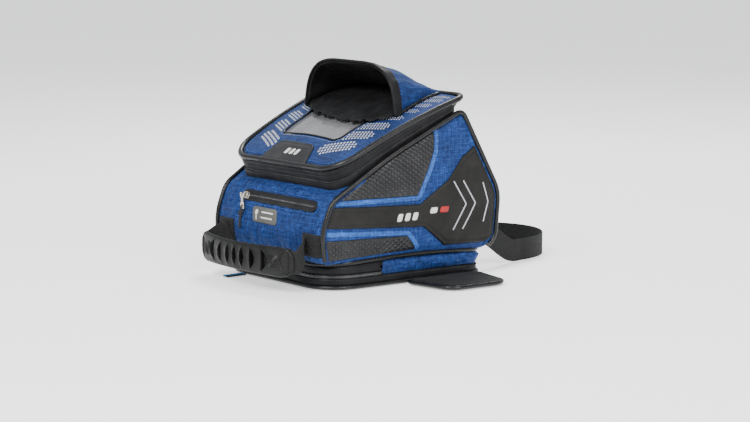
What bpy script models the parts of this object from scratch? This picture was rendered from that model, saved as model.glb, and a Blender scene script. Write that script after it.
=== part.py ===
"""Motorcycle tank bag: a wedge-shaped soft bag on a magnetic base, with a zipped lid and a sun hood.

Metres, +Z up. The origin is the centre of the base's underside. +X points forward, towards the
handlebars, +Y to the rider's left. Each object is one separate piece of the bag.
"""

import math

import bmesh
import bpy
from mathutils import Matrix, Vector

MM = 0.001
GAP = 0.3 * MM
LIGHT_GAP = 0.6 * MM

# ---------------------------------------------------------------- driving dimensions

# Base plan: a rounded quad that widens forward.
BASE_REAR = -103 * MM
BASE_FRONT = 104 * MM
BASE_HALF_REAR = 92 * MM
TAPER = 0.07  # growth of the half width per metre forward
BASE_HALF_FRONT = BASE_HALF_REAR + TAPER * (BASE_FRONT - BASE_REAR)
BASE_RADIUS_REAR = 38 * MM
BASE_RADIUS_FRONT = 18 * MM

# Base stack, from the floor up.
PAD_THICK = 3 * MM
MAGNET_THICK = 3 * MM
MAGNET_BEVEL = 0.4 * MM
BASE_MAGNET_SIZE = (55 * MM, 32 * MM)
BASE_MAGNET_X = -58 * MM
BASE_MAGNET_Y = 42 * MM
BOARD_THICK = 3 * MM
LOWER_BAND_TOP = 12 * MM
ZIP_LOWER_TOP = 14.2 * MM
ZIP_UPPER_TOP = 16.4 * MM
UPPER_BAND_TOP = 24.2 * MM
PIPING_RADIUS = 2.5 * MM
BASE_PIPING_Z = 27 * MM
FLOOR_Z = 30 * MM
FLOOR_THICK = 4 * MM
ZIP_END_X = -31 * MM  # where the base zip stops on each side

# Side panel outline in the XZ plane: (x, z, corner radius), from the rear foot round over the top.
SIDE_OUTLINE = [
    (-108, 29, 4),
    (-114, 62, 60),
    (-99, 97, 26),
    (-26, 140, 400),
    (71, 185, 8),
    (122, 92, 40),
    (117, 28, 22),
    (20, 33, 300),
]
SIDE_HALF_AT_REAR = 97 * MM  # piping line's distance from the centre plane at BASE_REAR
WALL_THICK = 6.5 * MM  # foam laminated with the outer cloth
SKIN_THICK = 1.5 * MM

# Lid: its top surface is z(x), crowned across.
LID_REAR = -101 * MM
LID_FRONT = 74 * MM
LID_HALF_REAR = 95 * MM
LID_HALF_FRONT = 111 * MM
LID_REAR_Z = 129.6 * MM
LID_SLOPE = 0.555
LID_BEND = 0.8  # per metre
LID_CROWN = 9 * MM
LID_RADIUS_REAR = 32 * MM
LID_RADIUS_FRONT = 12 * MM
LID_PIPING_RADIUS = 3 * MM
LID_SHEET = 2 * MM
LID_FOAM_IN = 9 * MM
LID_FOAM_DROP = 7 * MM
LID_FOAM_THICK = 3 * MM

# Rim: the line where the lid's band meets the body.
RIM_REAR = -84 * MM
RIM_FRONT = 71 * MM
RIM_HALF_REAR = 93 * MM
RIM_HALF_FRONT = 105 * MM
RIM_REAR_Z = 108 * MM
RIM_SLOPE = 0.575
RIM_BEND = 0.5  # per metre
RIM_RADIUS_REAR = 24 * MM
RIM_RADIUS_FRONT = 12 * MM
SPLIT_SHARE = 0.3  # the lid zip's height as a share of the band
ZIP_HALF = 2 * MM
TAPE_THICK = 1.2 * MM
BAND_THICK = 2 * MM

# The window and the badge: rear, front, half widths at each, and corner radii at each, in mm.
WINDOW = (-56, 60, 50, 60, 10, 10)
WINDOW_LAP = 4 * MM  # how far the film runs under the panel round it
BADGE = (-95, -70, 42, 29, 3, 9)
BADGE_RISE = 2.6 * MM
BADGE_THICK = 1.8 * MM

# Hood: hinged along its front edge, mouth open towards the rider.
HOOD_HINGE_X = 68 * MM
HOOD_MOUTH_X = 1 * MM
HOOD_MOUTH_Z = 226 * MM
HOOD_HALF_FRONT = 74 * MM
HOOD_HALF_MOUTH = 73 * MM
HOOD_HALF_FOOT = 80 * MM
HOOD_CROWN = 11 * MM
HOOD_CLOTH = 1.4 * MM

# Webbing and grip.
WEB_WIDE = 25 * MM
WEB_THICK = 1.6 * MM
GRIP_X = -157 * MM
GRIP_HALF = 76 * MM
GRIP_TALL = 34 * MM
GRIP_THICK = 7 * MM
GRIP_Z = 34 * MM
GRIP_BOW = 12 * MM
ANCHOR_Z = 49 * MM

# Key pocket on the rear panel.
POCKET_ZIP_LEFT = 56 * MM
POCKET_ZIP_RIGHT = -76 * MM
POCKET_ZIP_TALL = 11 * MM
POCKET_Z = 88 * MM
LABEL_Z = 71 * MM

# Zip sliders on the left side.
SLIDER_SIZE = (10 * MM, 3.2 * MM, 6 * MM)
LID_SLIDER_X = 12 * MM
BASE_SLIDER_X = -45 * MM

# Magnetic wings.
WING_REAR = -6 * MM
WING_FRONT = 90 * MM
WING_REACH = 60 * MM
WING_GAP = 12.5 * MM
WING_THICK = 7 * MM
WING_STRIP_THICK = 0.8 * MM
WING_MAGNET_SIZE = (58 * MM, 34 * MM, 3 * MM)
WING_MAGNET_IN = 8 * MM  # from the flap's inner edge
WING_SLOT_LONG = 60 * MM

# Front strap: a webbing loop that stands on its edge.
STRAP_START_X = 121 * MM
STRAP_START_Y = 82 * MM
STRAP_START_Z = 42 * MM
STRAP_FLOOR_X = 186 * MM
STRAP_FLOOR_Y = 72 * MM
STRAP_LOOP_X = 196 * MM  # the loop is half an ellipse, centred here
STRAP_LOOP_LONG = 74 * MM
STRAP_LOOP_HALF = 70 * MM
BUCKLE_THICK = 8 * MM
BUCKLE_BEVEL = 1 * MM

ARC_STEPS = 5
LONG_SPLITS = 6
SHORT_SPLITS = 4


# ---------------------------------------------------------------- helpers

PARTS = None
CUTTERS = None


def clear_scene():
    for obj in list(bpy.data.objects):
        bpy.data.objects.remove(obj, do_unlink=True)


def collection(name, hidden=False):
    made = bpy.data.collections.new(name)
    bpy.context.scene.collection.children.link(made)
    made.hide_render = hidden
    return made


def material(name, colour, roughness=0.6, metallic=0.0):
    made = bpy.data.materials.new(name)
    made.use_nodes = True
    shader = made.node_tree.nodes["Principled BSDF"]
    shader.inputs["Base Color"].default_value = (*colour, 1.0)
    shader.inputs["Roughness"].default_value = roughness
    shader.inputs["Metallic"].default_value = metallic
    made.diffuse_color = (*colour, 1.0)
    return made


def add_object(name, data, mat, where=None):
    obj = bpy.data.objects.new(name, data)
    (where or PARTS).objects.link(obj)
    if mat:
        data.materials.append(mat)
    return obj


def smooth(obj, angle=35):
    obj.data.shade_smooth()
    obj.data.set_sharp_from_angle(angle=math.radians(angle))
    return obj


def fillet(before, corner, after, radius, steps):
    """Points of the arc that rounds a corner, from its start to its end."""
    a = (before - corner).normalized()
    b = (after - corner).normalized()
    half = a.angle(b) / 2
    centre = corner + (a + b).normalized() * (radius / math.sin(half))
    start = corner + a * (radius / math.tan(half)) - centre
    turn = math.pi - 2 * half
    if a.x * b.y - a.y * b.x > 0:
        turn = -turn
    return [centre + Matrix.Rotation(turn * k / steps, 2) @ start for k in range(steps + 1)]


def rounded_outline(corners, radii, steps=ARC_STEPS, splits=None):
    """A closed outline of 2D points. splits gives the segments of each straight side, from its corner on."""
    count = len(corners)
    arcs = [
        fillet(corners[i - 1], corners[i], corners[(i + 1) % count], radii[i], steps)
        for i in range(count)
    ]
    points = []
    for i, arc in enumerate(arcs):
        points += arc
        parts = splits[i] if splits else 1
        following = arcs[(i + 1) % count][0]
        points += [arc[-1].lerp(following, k / parts) for k in range(1, parts)]
    return points


def rounded_quad(rear, front, half_rear, half_front, radius_rear, radius_front):
    """A plan outline, anticlockwise from the rear right corner."""
    corners = [
        Vector((rear, -half_rear)),
        Vector((front, -half_front)),
        Vector((front, half_front)),
        Vector((rear, half_rear)),
    ]
    radii = (radius_rear, radius_front, radius_front, radius_rear)
    return rounded_outline(corners, radii, splits=(LONG_SPLITS, SHORT_SPLITS) * 2)


def inset(points, distance):
    """The closed outline moved inwards by distance. Points run anticlockwise."""
    moved = []
    for i, p in enumerate(points):
        along = (points[(i + 1) % len(points)] - points[i - 1]).normalized()
        moved.append(p + Vector((-along.y, along.x)) * distance)
    return moved


def base_outline(inward=0.0):
    return rounded_quad(
        BASE_REAR + inward,
        BASE_FRONT - inward,
        BASE_HALF_REAR - inward,
        BASE_HALF_FRONT - inward,
        BASE_RADIUS_REAR - inward,
        BASE_RADIUS_FRONT - inward,
    )


def flat_shape(name, outline, thickness, mat):
    """A plate in the local XY plane, from a closed 2D outline, centred on z 0."""
    data = bpy.data.curves.new(name, "CURVE")
    data.dimensions = "2D"
    data.fill_mode = "BOTH"
    data.extrude = thickness / 2
    spline = data.splines.new("POLY")
    spline.points.add(len(outline) - 1)
    for point, (x, y) in zip(spline.points, outline):
        point.co = (x, y, 0, 1)
    spline.use_cyclic_u = True
    return add_object(name, data, mat)


def plate(name, outline, bottom, top, mat):
    """A flat plate lying between two heights."""
    obj = flat_shape(name, outline, top - bottom, mat)
    obj.location.z = (bottom + top) / 2
    return obj


def standing_plate(name, outline, y, thickness, mat, turn=0.0):
    """A plate whose outline is in the XZ plane, with its middle at y, turned about Z."""
    obj = flat_shape(name, outline, thickness, mat)
    obj.rotation_euler = (math.pi / 2, 0, turn)
    obj.location.y = y
    return obj


def tube(name, points, radius, mat, cyclic=False, resolution=1):
    data = bpy.data.curves.new(name, "CURVE")
    data.dimensions = "3D"
    data.bevel_depth = radius
    data.bevel_resolution = resolution
    data.use_fill_caps = True
    spline = data.splines.new("POLY")
    spline.points.add(len(points) - 1)
    for point, co in zip(spline.points, points):
        point.co = (*co, 1)
    spline.use_cyclic_u = cyclic
    return add_object(name, data, mat)


def sheet(name, rows, thickness, mat, around=True, centre=None, where=None):
    """An open surface through rows of 3D points, thickened against its normals."""
    bm = bmesh.new()
    grid = [[bm.verts.new(p) for p in row] for row in rows]
    width = len(rows[0])
    for low, high in zip(grid, grid[1:]):
        for i in range(width if around else width - 1):
            j = (i + 1) % width
            bm.faces.new((low[i], low[j], high[j], high[i]))
    if centre is not None:
        hub = bm.verts.new(centre)
        last = grid[-1]
        for i in range(width):
            bm.faces.new((last[i], last[(i + 1) % width], hub))
    bm.normal_update()
    data = bpy.data.meshes.new(name)
    bm.to_mesh(data)
    bm.free()
    obj = add_object(name, data, mat, where)
    solid = obj.modifiers.new("thickness", "SOLIDIFY")
    solid.thickness = thickness
    solid.offset = -1
    solid.use_even_offset = True
    return smooth(obj)


def box(name, size, at, mat, bevel=0.0, where=None):
    bm = bmesh.new()
    bmesh.ops.create_cube(bm, size=1.0)
    bmesh.ops.scale(bm, vec=size, verts=bm.verts)
    data = bpy.data.meshes.new(name)
    bm.to_mesh(data)
    bm.free()
    obj = add_object(name, data, mat, where)
    obj.location = at
    if bevel:
        edge = obj.modifiers.new("edges", "BEVEL")
        edge.width = bevel
        edge.segments = 2
    return obj


def cut(obj, cutter):
    cutter.hide_render = True
    cutter.display_type = "WIRE"
    boolean = obj.modifiers.new("cut", "BOOLEAN")
    boolean.operation = "DIFFERENCE"
    boolean.solver = "EXACT"
    boolean.object = cutter
    return obj


def as_mesh(obj):
    """The object with its curve or modifiers made into a mesh, its caps welded."""
    graph = bpy.context.evaluated_depsgraph_get()
    data = bpy.data.meshes.new_from_object(obj.evaluated_get(graph))
    bm = bmesh.new()
    bm.from_mesh(data)
    bmesh.ops.remove_doubles(bm, verts=bm.verts, dist=0.01 * MM)
    bmesh.ops.recalc_face_normals(bm, faces=bm.faces)
    bm.to_mesh(data)
    bm.free()
    name = obj.name
    where = obj.users_collection[0]
    world = obj.matrix_world.copy()
    bpy.data.objects.remove(obj)
    made = bpy.data.objects.new(name, data)
    made.matrix_world = world
    where.objects.link(made)
    return made


def mirror_y(points):
    """The same outline on the other side of the centre plane, still anticlockwise."""
    return [Vector((p.x, -p.y)) for p in reversed(points)]


# ---------------------------------------------------------------- shared surfaces


def side_half(x):
    return SIDE_HALF_AT_REAR + TAPER * (x - BASE_REAR)


def lid_top(x, y=None):
    """Height of the lid's top surface; with no y, at its edge."""
    run = x - LID_REAR
    z = LID_REAR_Z + LID_SLOPE * run - LID_BEND * run * run
    if y is None:
        return z
    share = run / (LID_FRONT - LID_REAR)
    half = LID_HALF_REAR + (LID_HALF_FRONT - LID_HALF_REAR) * share
    along = max(0.0, 1 - (2 * share - 1) ** 4)
    return z + LID_CROWN * along * max(0.0, 1 - (y / half) ** 2)


def rim_z(x):
    run = x - RIM_REAR
    return RIM_REAR_Z + RIM_SLOPE * run - RIM_BEND * run * run


def band_loop(share, inward=0.0, drop=0.0):
    """A ring of the lid's band: share 0 is the rim, 1 the lid's top edge."""
    low = rounded_quad(
        RIM_REAR + inward,
        RIM_FRONT - inward,
        RIM_HALF_REAR - inward,
        RIM_HALF_FRONT - inward,
        RIM_RADIUS_REAR - inward,
        RIM_RADIUS_FRONT - inward,
    )
    high = rounded_quad(
        LID_REAR + inward,
        LID_FRONT - inward,
        LID_HALF_REAR - inward,
        LID_HALF_FRONT - inward,
        LID_RADIUS_REAR - inward,
        LID_RADIUS_FRONT - inward,
    )
    ring = []
    for a, b in zip(low, high):
        foot = Vector((a.x, a.y, rim_z(a.x)))
        head = Vector((b.x, b.y, lid_top(b.x)))
        ring.append(foot.lerp(head, share) - Vector((0, 0, drop)))
    return ring


def side_profile(steps=ARC_STEPS):
    """The side panel's outline as 2D points (x, z), anticlockwise."""
    corners = [Vector((x, z)) * MM for x, z, _ in SIDE_OUTLINE]
    radii = [r * MM for _, _, r in SIDE_OUTLINE]
    splits = (6, 4, 2, 4, 4, 6, 8, 4)
    return rounded_outline(list(reversed(corners)), list(reversed(radii)), steps, splits)


def profile_stretch(keep):
    """The longest unbroken run of side profile points for which keep(point) holds."""
    points = side_profile(8)
    count = len(points)
    runs = []
    for first in range(count):
        if keep(points[first]) and not keep(points[first - 1]):
            run = []
            while keep(points[(first + len(run)) % count]):
                run.append(points[(first + len(run)) % count])
            runs.append(run)
    return max(runs, key=len)


def strip_outline(run, outer, inner):
    """A closed 2D outline of the strip between two insets of an open run."""

    def moved(distance):
        out = []
        for i, p in enumerate(run):
            ahead = run[min(i + 1, len(run) - 1)]
            behind = run[max(i - 1, 0)]
            along = (ahead - behind).normalized()
            out.append(p + Vector((-along.y, along.x)) * distance)
        return out

    return moved(outer) + list(reversed(moved(inner)))


def is_rear(p):
    return p.x < -60 * MM and FLOOR_Z + 1 * MM < p.y < 113 * MM


def is_front(p):
    return p.x > 60 * MM and FLOOR_Z + 1 * MM < p.y < 182 * MM


def rear_wall_x(z):
    """The rear wall's outer face at height z."""
    run = profile_stretch(is_rear)
    nearest = sorted(run, key=lambda p: abs(p.y - z))[:2]
    a, b = nearest
    share = (z - a.y) / (b.y - a.y) if abs(b.y - a.y) > 1e-6 else 0.0
    return a.x + (b.x - a.x) * share


def split_ring(ring, keep):
    """The unbroken run of a closed ring's points for which keep(point) holds."""
    count = len(ring)
    first = next(i for i in range(count) if keep(ring[i]) and not keep(ring[i - 1]))
    run = []
    while keep(ring[(first + len(run)) % count]) and len(run) < count:
        run.append(ring[(first + len(run)) % count])
    return run


# ---------------------------------------------------------------- base


def at_height(outline, z):
    return [Vector((p.x, p.y, z)) for p in outline]


def behind_zip_end(p):
    return p.x < ZIP_END_X


def zip_run(outline):
    """The outline's stretch behind the zip's ends, cut exactly at ZIP_END_X."""
    return cut_run(outline, behind_zip_end, ZIP_END_X)


def cut_run(outline, keep, x):
    run = split_ring(outline, keep)
    ends = []
    for end, beyond_step in ((run[0], -1), (run[-1], 1)):
        index = outline.index(end)
        beyond = outline[(index + beyond_step) % len(outline)]
        share = (x - end.x) / (beyond.x - end.x)
        ends.append(end.lerp(beyond, share))
    return [ends[0]] + run + [ends[1]]


def build_base(mats):
    plate("base_pad", base_outline(), 0, PAD_THICK, mats["rubber"])
    magnet_bottom = PAD_THICK + GAP
    for side, name in ((1, "base_magnet_left"), (-1, "base_magnet_right")):
        at = (BASE_MAGNET_X, side * BASE_MAGNET_Y, magnet_bottom + MAGNET_THICK / 2)
        box(name, (*BASE_MAGNET_SIZE, MAGNET_THICK), at, mats["magnet"], MAGNET_BEVEL)
    board_bottom = magnet_bottom + MAGNET_THICK + GAP
    inside = base_outline(3 * MM)
    plate("base_board", inside, board_bottom, board_bottom + BOARD_THICK, mats["board"])
    ring = base_outline()
    band_bottom = PAD_THICK + GAP
    rows = [at_height(ring, band_bottom), at_height(ring, LOWER_BAND_TOP)]
    sheet("base_lower_band", rows, BAND_THICK, mats["black_pvc"])
    outside = at_height(base_outline(-2.6 * MM), 3 * MM)
    tube("base_lower_piping", outside, 2 * MM, mats["piping"], cyclic=True)
    zip_line = zip_run(base_outline(0.4 * MM))
    rows = [at_height(zip_line, LOWER_BAND_TOP + GAP), at_height(zip_line, ZIP_LOWER_TOP)]
    sheet("base_zip_lower", rows, TAPE_THICK, mats["zip"], around=False)


def build_rear_tab(mats):
    """A folded woven tab sewn into the rear left of the base seam, lying on the floor."""
    long, wide, thick = 24 * MM, 10 * MM, 1.6 * MM
    at = (BASE_REAR - 5.4 * MM - long / 2, 52 * MM, thick / 2 + GAP)
    tab = box("rear_tab", (long, wide, thick), at, mats["tab"], 0.3 * MM)
    tab.rotation_euler.z = math.radians(-8)


def build_wings(mats):
    """Left and right magnetic wings: a flap with a slot in its inner edge, and the magnet in it."""
    middle_x = (WING_REAR + WING_FRONT) / 2
    edge_y = BASE_HALF_REAR + TAPER * (middle_x - BASE_REAR)
    length = WING_FRONT - WING_REAR
    magnet_long, magnet_wide, magnet_thick = WING_MAGNET_SIZE
    for side, name in ((-1, "right"), (1, "left")):
        inner = WING_GAP
        corners = [
            Vector((-length / 2, inner)),
            Vector((length / 2, inner)),
            Vector((length / 2 - 8 * MM, inner + WING_REACH)),
            Vector((-length / 2 + 14 * MM, inner + WING_REACH)),
        ]
        outline = rounded_outline(corners, [3 * MM, 3 * MM, 16 * MM, 20 * MM])
        if side < 0:
            outline = mirror_y(outline)
        flap = plate(f"wing_{name}_flap", outline, 0, WING_THICK, mats["wing"])
        middle = side * (inner + WING_MAGNET_IN + magnet_wide / 2)
        at = (0, middle, WING_THICK / 2)
        magnet = box(f"wing_{name}_magnet", WING_MAGNET_SIZE, at, mats["magnet"], MAGNET_BEVEL)
        slot_size = (magnet_long + 1 * MM, WING_SLOT_LONG, magnet_thick + 2 * GAP)
        slot_shift = side * ((magnet_wide - WING_SLOT_LONG) / 2 + 0.5 * MM)
        slot_at = (0, middle + slot_shift, WING_THICK / 2)
        slot = box(f"wing_{name}_slot", slot_size, slot_at, None, where=CUTTERS)
        bpy.context.view_layer.update()
        flap = as_mesh(flap)
        cut(flap, slot)
        strip_size = (length - 12 * MM, WING_GAP - GAP - 1 * MM, WING_STRIP_THICK)
        strip_at = (0, side * (strip_size[1] / 2 + 0.5 * MM), WING_STRIP_THICK / 2)
        strip = box(f"wing_{name}_hinge_cloth", strip_size, strip_at, mats["wing"])
        bpy.context.view_layer.update()
        turn = Matrix.Rotation(side * math.atan(TAPER), 4, "Z")
        place = Matrix.Translation((middle_x, side * edge_y, 0)) @ turn
        for obj in (flap, magnet, slot, strip):
            obj.matrix_world = place @ obj.matrix_world


def strap_path():
    """Centre line of the right half of the strap loop, as 3D points, from the bag forward."""
    start = Vector((STRAP_START_X, -STRAP_START_Y, STRAP_START_Z))
    floor_z = WEB_WIDE / 2 + GAP
    landing = Vector((STRAP_FLOOR_X, -STRAP_FLOOR_Y, floor_z))
    points = [start]
    for k in (1, 2, 3, 4):
        share = k / 4
        ease = share * share * (3 - 2 * share)
        middle = start.lerp(landing, share)
        middle.z = start.z + (landing.z - start.z) * ease
        points.append(middle)
    return points


def ribbon(name, points, mat):
    """Webbing that stands on its edge, along a centre line."""
    down = Vector((0, 0, -WEB_WIDE / 2))
    rows = [[p + down for p in points], [p - down for p in points]]
    return sheet(name, rows, WEB_THICK, mat, around=False)


def build_front_strap(mats):
    """The headstock loop: a long strap from the right corner round to a buckle, and a short one."""
    arm = strap_path()
    floor_z = WEB_WIDE / 2 + GAP
    steps = 12
    loop = []
    for k in range(steps + 1):
        angle = math.radians(-90 + 158 * k / steps)
        x = STRAP_LOOP_X + STRAP_LOOP_LONG * math.cos(angle)
        loop.append(Vector((x, STRAP_LOOP_HALF * math.sin(angle), floor_z)))
    ribbon("strap_long", arm + loop, mats["webbing"])
    other = [Vector((p.x, -p.y, p.z)) for p in reversed(arm)]
    ribbon("strap_short", other, mats["webbing"])
    along = other[0] - loop[-1]
    turn = math.atan2(along.y, along.x)
    build_buckle(mats, loop[-1].lerp(other[0], 0.5), turn, along.length)


def build_buckle(mats, middle, turn, span):
    """A side-release buckle standing on its edge: a hollow female shell and a male with two prongs."""
    place = Matrix.Translation(middle) @ Matrix.Rotation(turn, 4, "Z")
    shell_long = span * 0.5
    shell_size = (shell_long, BUCKLE_THICK, WEB_WIDE)
    shell = box("strap_buckle_female", shell_size, (0, 0, 0), mats["plastic"], BUCKLE_BEVEL)
    shell.location.x = span / 2 - shell_long / 2 - LIGHT_GAP
    room_size = (shell_long, 4.6 * MM, WEB_WIDE - 6 * MM)
    room = box("buckle_room", room_size, (0, 0, 0), None, where=CUTTERS)
    room.location.x = shell.location.x - 4 * MM
    cut(shell, room)
    body_long = span - shell_long - 3 * LIGHT_GAP
    male_size = (body_long, BUCKLE_THICK, WEB_WIDE)
    male = box("strap_buckle_male", male_size, (0, 0, 0), mats["plastic"], BUCKLE_BEVEL)
    male.location.x = -span / 2 + body_long / 2 + LIGHT_GAP
    tongue_size = (body_long * 0.6, 3.6 * MM, WEB_WIDE - 9 * MM)
    tongue = box("buckle_tongue", tongue_size, (0, 0, 0), None, where=CUTTERS)
    tongue.location.x = male.location.x + body_long / 2 + tongue_size[0] / 2 - 2 * MM
    tongue.hide_render = True
    tongue.display_type = "WIRE"
    join = male.modifiers.new("tongue", "BOOLEAN")
    join.operation = "UNION"
    join.object = tongue
    bpy.context.view_layer.update()
    for obj in (shell, room, male, tongue):
        obj.matrix_world = place @ obj.matrix_world


# ---------------------------------------------------------------- body


def build_zip_ring(mats):
    """What closes the bag's foot above the base zip: black band behind, blue gusset in front."""
    ring = base_outline()
    behind = zip_run(ring)
    rows = [at_height(behind, ZIP_UPPER_TOP + GAP), at_height(behind, UPPER_BAND_TOP)]
    sheet("base_upper_band", rows, SKIN_THICK, mats["black_pvc"], around=False)
    zip_line = zip_run(base_outline(0.4 * MM))
    rows = [at_height(zip_line, ZIP_LOWER_TOP + GAP), at_height(zip_line, ZIP_UPPER_TOP)]
    sheet("base_zip_upper", rows, TAPE_THICK, mats["zip"], around=False)
    gusset_end = ZIP_END_X + 1 * MM
    front = cut_run(ring, lambda p: p.x > gusset_end, gusset_end)
    rows = [at_height(front, LOWER_BAND_TOP + LIGHT_GAP), at_height(front, UPPER_BAND_TOP)]
    sheet("base_front_gusset", rows, SKIN_THICK, mats["blue"], around=False)
    piping = at_height(base_outline(), BASE_PIPING_Z)
    tube("base_upper_piping", piping, PIPING_RADIUS, mats["piping"], cyclic=True)


def side_place(side, distance):
    """(y of the plate's middle, turn about Z) for a plate whose middle is distance inside the piping plane."""
    y = side_half(0.0) - distance
    return side * y, side * math.atan(TAPER)


def build_sides(mats):
    outline = side_profile()
    for side, name in ((-1, "right"), (1, "left")):
        y, turn = side_place(side, WALL_THICK / 2)
        wall = inset(outline, 3.2 * MM)
        standing_plate(f"side_panel_{name}", wall, y, WALL_THICK, mats["blue"], turn)
        y, turn = side_place(side, -(GAP + 0.6 * MM))
        standing_plate(f"side_armour_{name}", armour_outline(), y, 1.2 * MM, mats["armour"], turn)
        run = piping_run()
        half = [side_half(p.x) for p in run]
        points = [Vector((p.x, side * h, p.y)) for p, h in zip(run, half)]
        tube(f"side_piping_{name}", points, PIPING_RADIUS, mats["piping"])


def piping_run():
    """The side outline from the rear foot over the top to the front foot."""
    foot = BASE_PIPING_Z + 2 * PIPING_RADIUS + GAP
    return profile_stretch(lambda p: p.y > foot)


def armour_outline():
    """The moulded rubber panel: a bar from the rear that widens to fill the front of the side."""
    front = profile_stretch(lambda p: p.x > 60 * MM and 40 * MM < p.y < 146 * MM)
    edge = strip_outline(front, 4 * MM, 5 * MM)[: len(front)]
    rear_low = Vector((-107, 69)) * MM
    rear_high = Vector((-98, 89)) * MM
    bar_high = Vector((19, 85)) * MM
    bar_low = Vector((17, 61)) * MM
    shoulder = Vector((58, 112)) * MM
    foot = Vector((46, 39)) * MM
    outline = [bar_low, foot, Vector((100, 38)) * MM] + edge + [shoulder, bar_high]
    return outline + [rear_high, rear_low]


def build_ends(mats):
    """Rear and front walls, bent to the side panels' outline and held between them."""
    for keep, name, at_x in ((is_rear, "rear", -108 * MM), (is_front, "front", 72 * MM)):
        wall = strip_outline(profile_stretch(keep), 0.0, WALL_THICK)
        width = 2 * (side_half(at_x) - WALL_THICK - 2 * GAP)
        standing_plate(f"{name}_panel", wall, 0, width, mats["blue"])


def build_floor_and_liner(mats):
    inside = base_outline(8 * MM)
    plate("floor_board", inside, FLOOR_Z, FLOOR_Z + FLOOR_THICK, mats["board"])
    foot_z = FLOOR_Z + FLOOR_THICK + GAP
    low = at_height(base_outline(11 * MM), foot_z + 1 * MM)
    high = []
    top = rounded_quad(-72 * MM, 60 * MM, 84 * MM, 93 * MM, 14 * MM, 10 * MM)
    for p in top:
        high.append(Vector((p.x, p.y, rim_z(p.x) - 12 * MM)))
    middle = [a.lerp(b, 0.5) for a, b in zip(low, high)]
    centre = Vector((0, 0, foot_z + 1 * MM))
    sheet("liner", [high, middle, low], 1 * MM, mats["liner"], centre=centre)


def build_rim(mats):
    """The body's half of the lid closure: a stiff collar and the lower zip tape."""
    low = band_loop(0.0)
    high = band_loop(SPLIT_SHARE, drop=ZIP_HALF + 2.1 * MM)
    sheet("rim_collar", [low, high], BAND_THICK, mats["black_pvc"])
    zip_low = band_loop(SPLIT_SHARE, 0.4 * MM, ZIP_HALF)
    zip_high = band_loop(SPLIT_SHARE, 0.4 * MM, GAP / 2)
    rows = [lid_run(zip_low), lid_run(zip_high)]
    sheet("lid_zip_lower", rows, TAPE_THICK, mats["zip"], around=False)


def lid_run(ring):
    """A band ring without its straight front, where the lid is hinged."""
    return split_ring(ring, lambda p: p.x < LID_FRONT - 9 * MM)


# ---------------------------------------------------------------- lid and hood


def surface_rows(outline, rise, rings, centre=None, inner=None):
    """Rings on the lid's top surface, from the outline to a centre or to an inner outline."""
    rows = []
    for k in range(rings + 1):
        share = k / rings if inner else k / (rings + 1)
        ring = []
        for i, p in enumerate(outline):
            target = inner[i] if inner else centre
            q = p.lerp(target, share)
            ring.append(Vector((q.x, q.y, lid_top(q.x, q.y) + rise)))
        rows.append(ring)
    return rows


def lid_patch(name, outline, rise, thickness, mat, rings=2):
    """A sheet that fills an outline on the lid's top surface."""
    middle = sum(outline, Vector((0, 0))) / len(outline)
    rows = surface_rows(outline, rise, rings, centre=middle)
    hub = Vector((middle.x, middle.y, lid_top(middle.x, middle.y) + rise))
    return sheet(name, rows, thickness, mat, centre=hub)


def lid_edge(inward):
    return [Vector((p.x, p.y)) for p in band_loop(1.0, inward)]


def window_outline(grow=0.0):
    rear, front, *spans = (size * MM for size in WINDOW)
    return rounded_quad(rear - grow, front + grow, *(span + grow for span in spans))


def build_lid(mats):
    low = band_loop(SPLIT_SHARE, drop=-(ZIP_HALF + GAP))
    middle = band_loop(0.62, -0.5 * MM)
    high = band_loop(1.0, drop=LID_PIPING_RADIUS + 1.7 * MM)
    sheet("lid_band", [low, middle, high], BAND_THICK, mats["black_pvc"])
    zip_low = band_loop(SPLIT_SHARE, 0.4 * MM, -GAP / 2)
    zip_high = band_loop(SPLIT_SHARE, 0.4 * MM, -ZIP_HALF)
    rows = [lid_run(zip_low), lid_run(zip_high)]
    sheet("lid_zip_upper", rows, TAPE_THICK, mats["zip"], around=False)
    tube("lid_piping", band_loop(1.0), LID_PIPING_RADIUS, mats["piping"], cyclic=True)
    edge = lid_edge(LID_PIPING_RADIUS + 0.8 * MM)
    rows = surface_rows(edge, 0.0, 3, inner=window_outline())
    sheet("lid_panel", rows, LID_SHEET, mats["blue"])
    film = window_outline(WINDOW_LAP)
    lid_patch("window_film", film, -LID_SHEET - 1 * MM, 0.8 * MM, mats["clear"])
    inner_edge = lid_edge(LID_FOAM_IN)
    lid_patch("lid_foam", inner_edge, -LID_FOAM_DROP, LID_FOAM_THICK, mats["foam"])
    badge = rounded_quad(*(size * MM for size in BADGE))
    lid_patch("lid_badge", badge, BADGE_RISE, BADGE_THICK, mats["armour"], rings=1)


def hood_top_point(along, across):
    """A point of the hood's top cloth: along 0 is the hinged front edge, 1 the mouth; across -1 to 1."""
    x = HOOD_HINGE_X + (HOOD_MOUTH_X - HOOD_HINGE_X) * along
    half = HOOD_HALF_FRONT + (HOOD_HALF_MOUTH - HOOD_HALF_FRONT) * along
    y = across * half
    start = lid_top(HOOD_HINGE_X, y) + 2.4 * MM
    end = HOOD_MOUTH_Z + HOOD_CROWN * (1 - across**4)
    return Vector((x, y, start + (end - start) * along))


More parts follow.
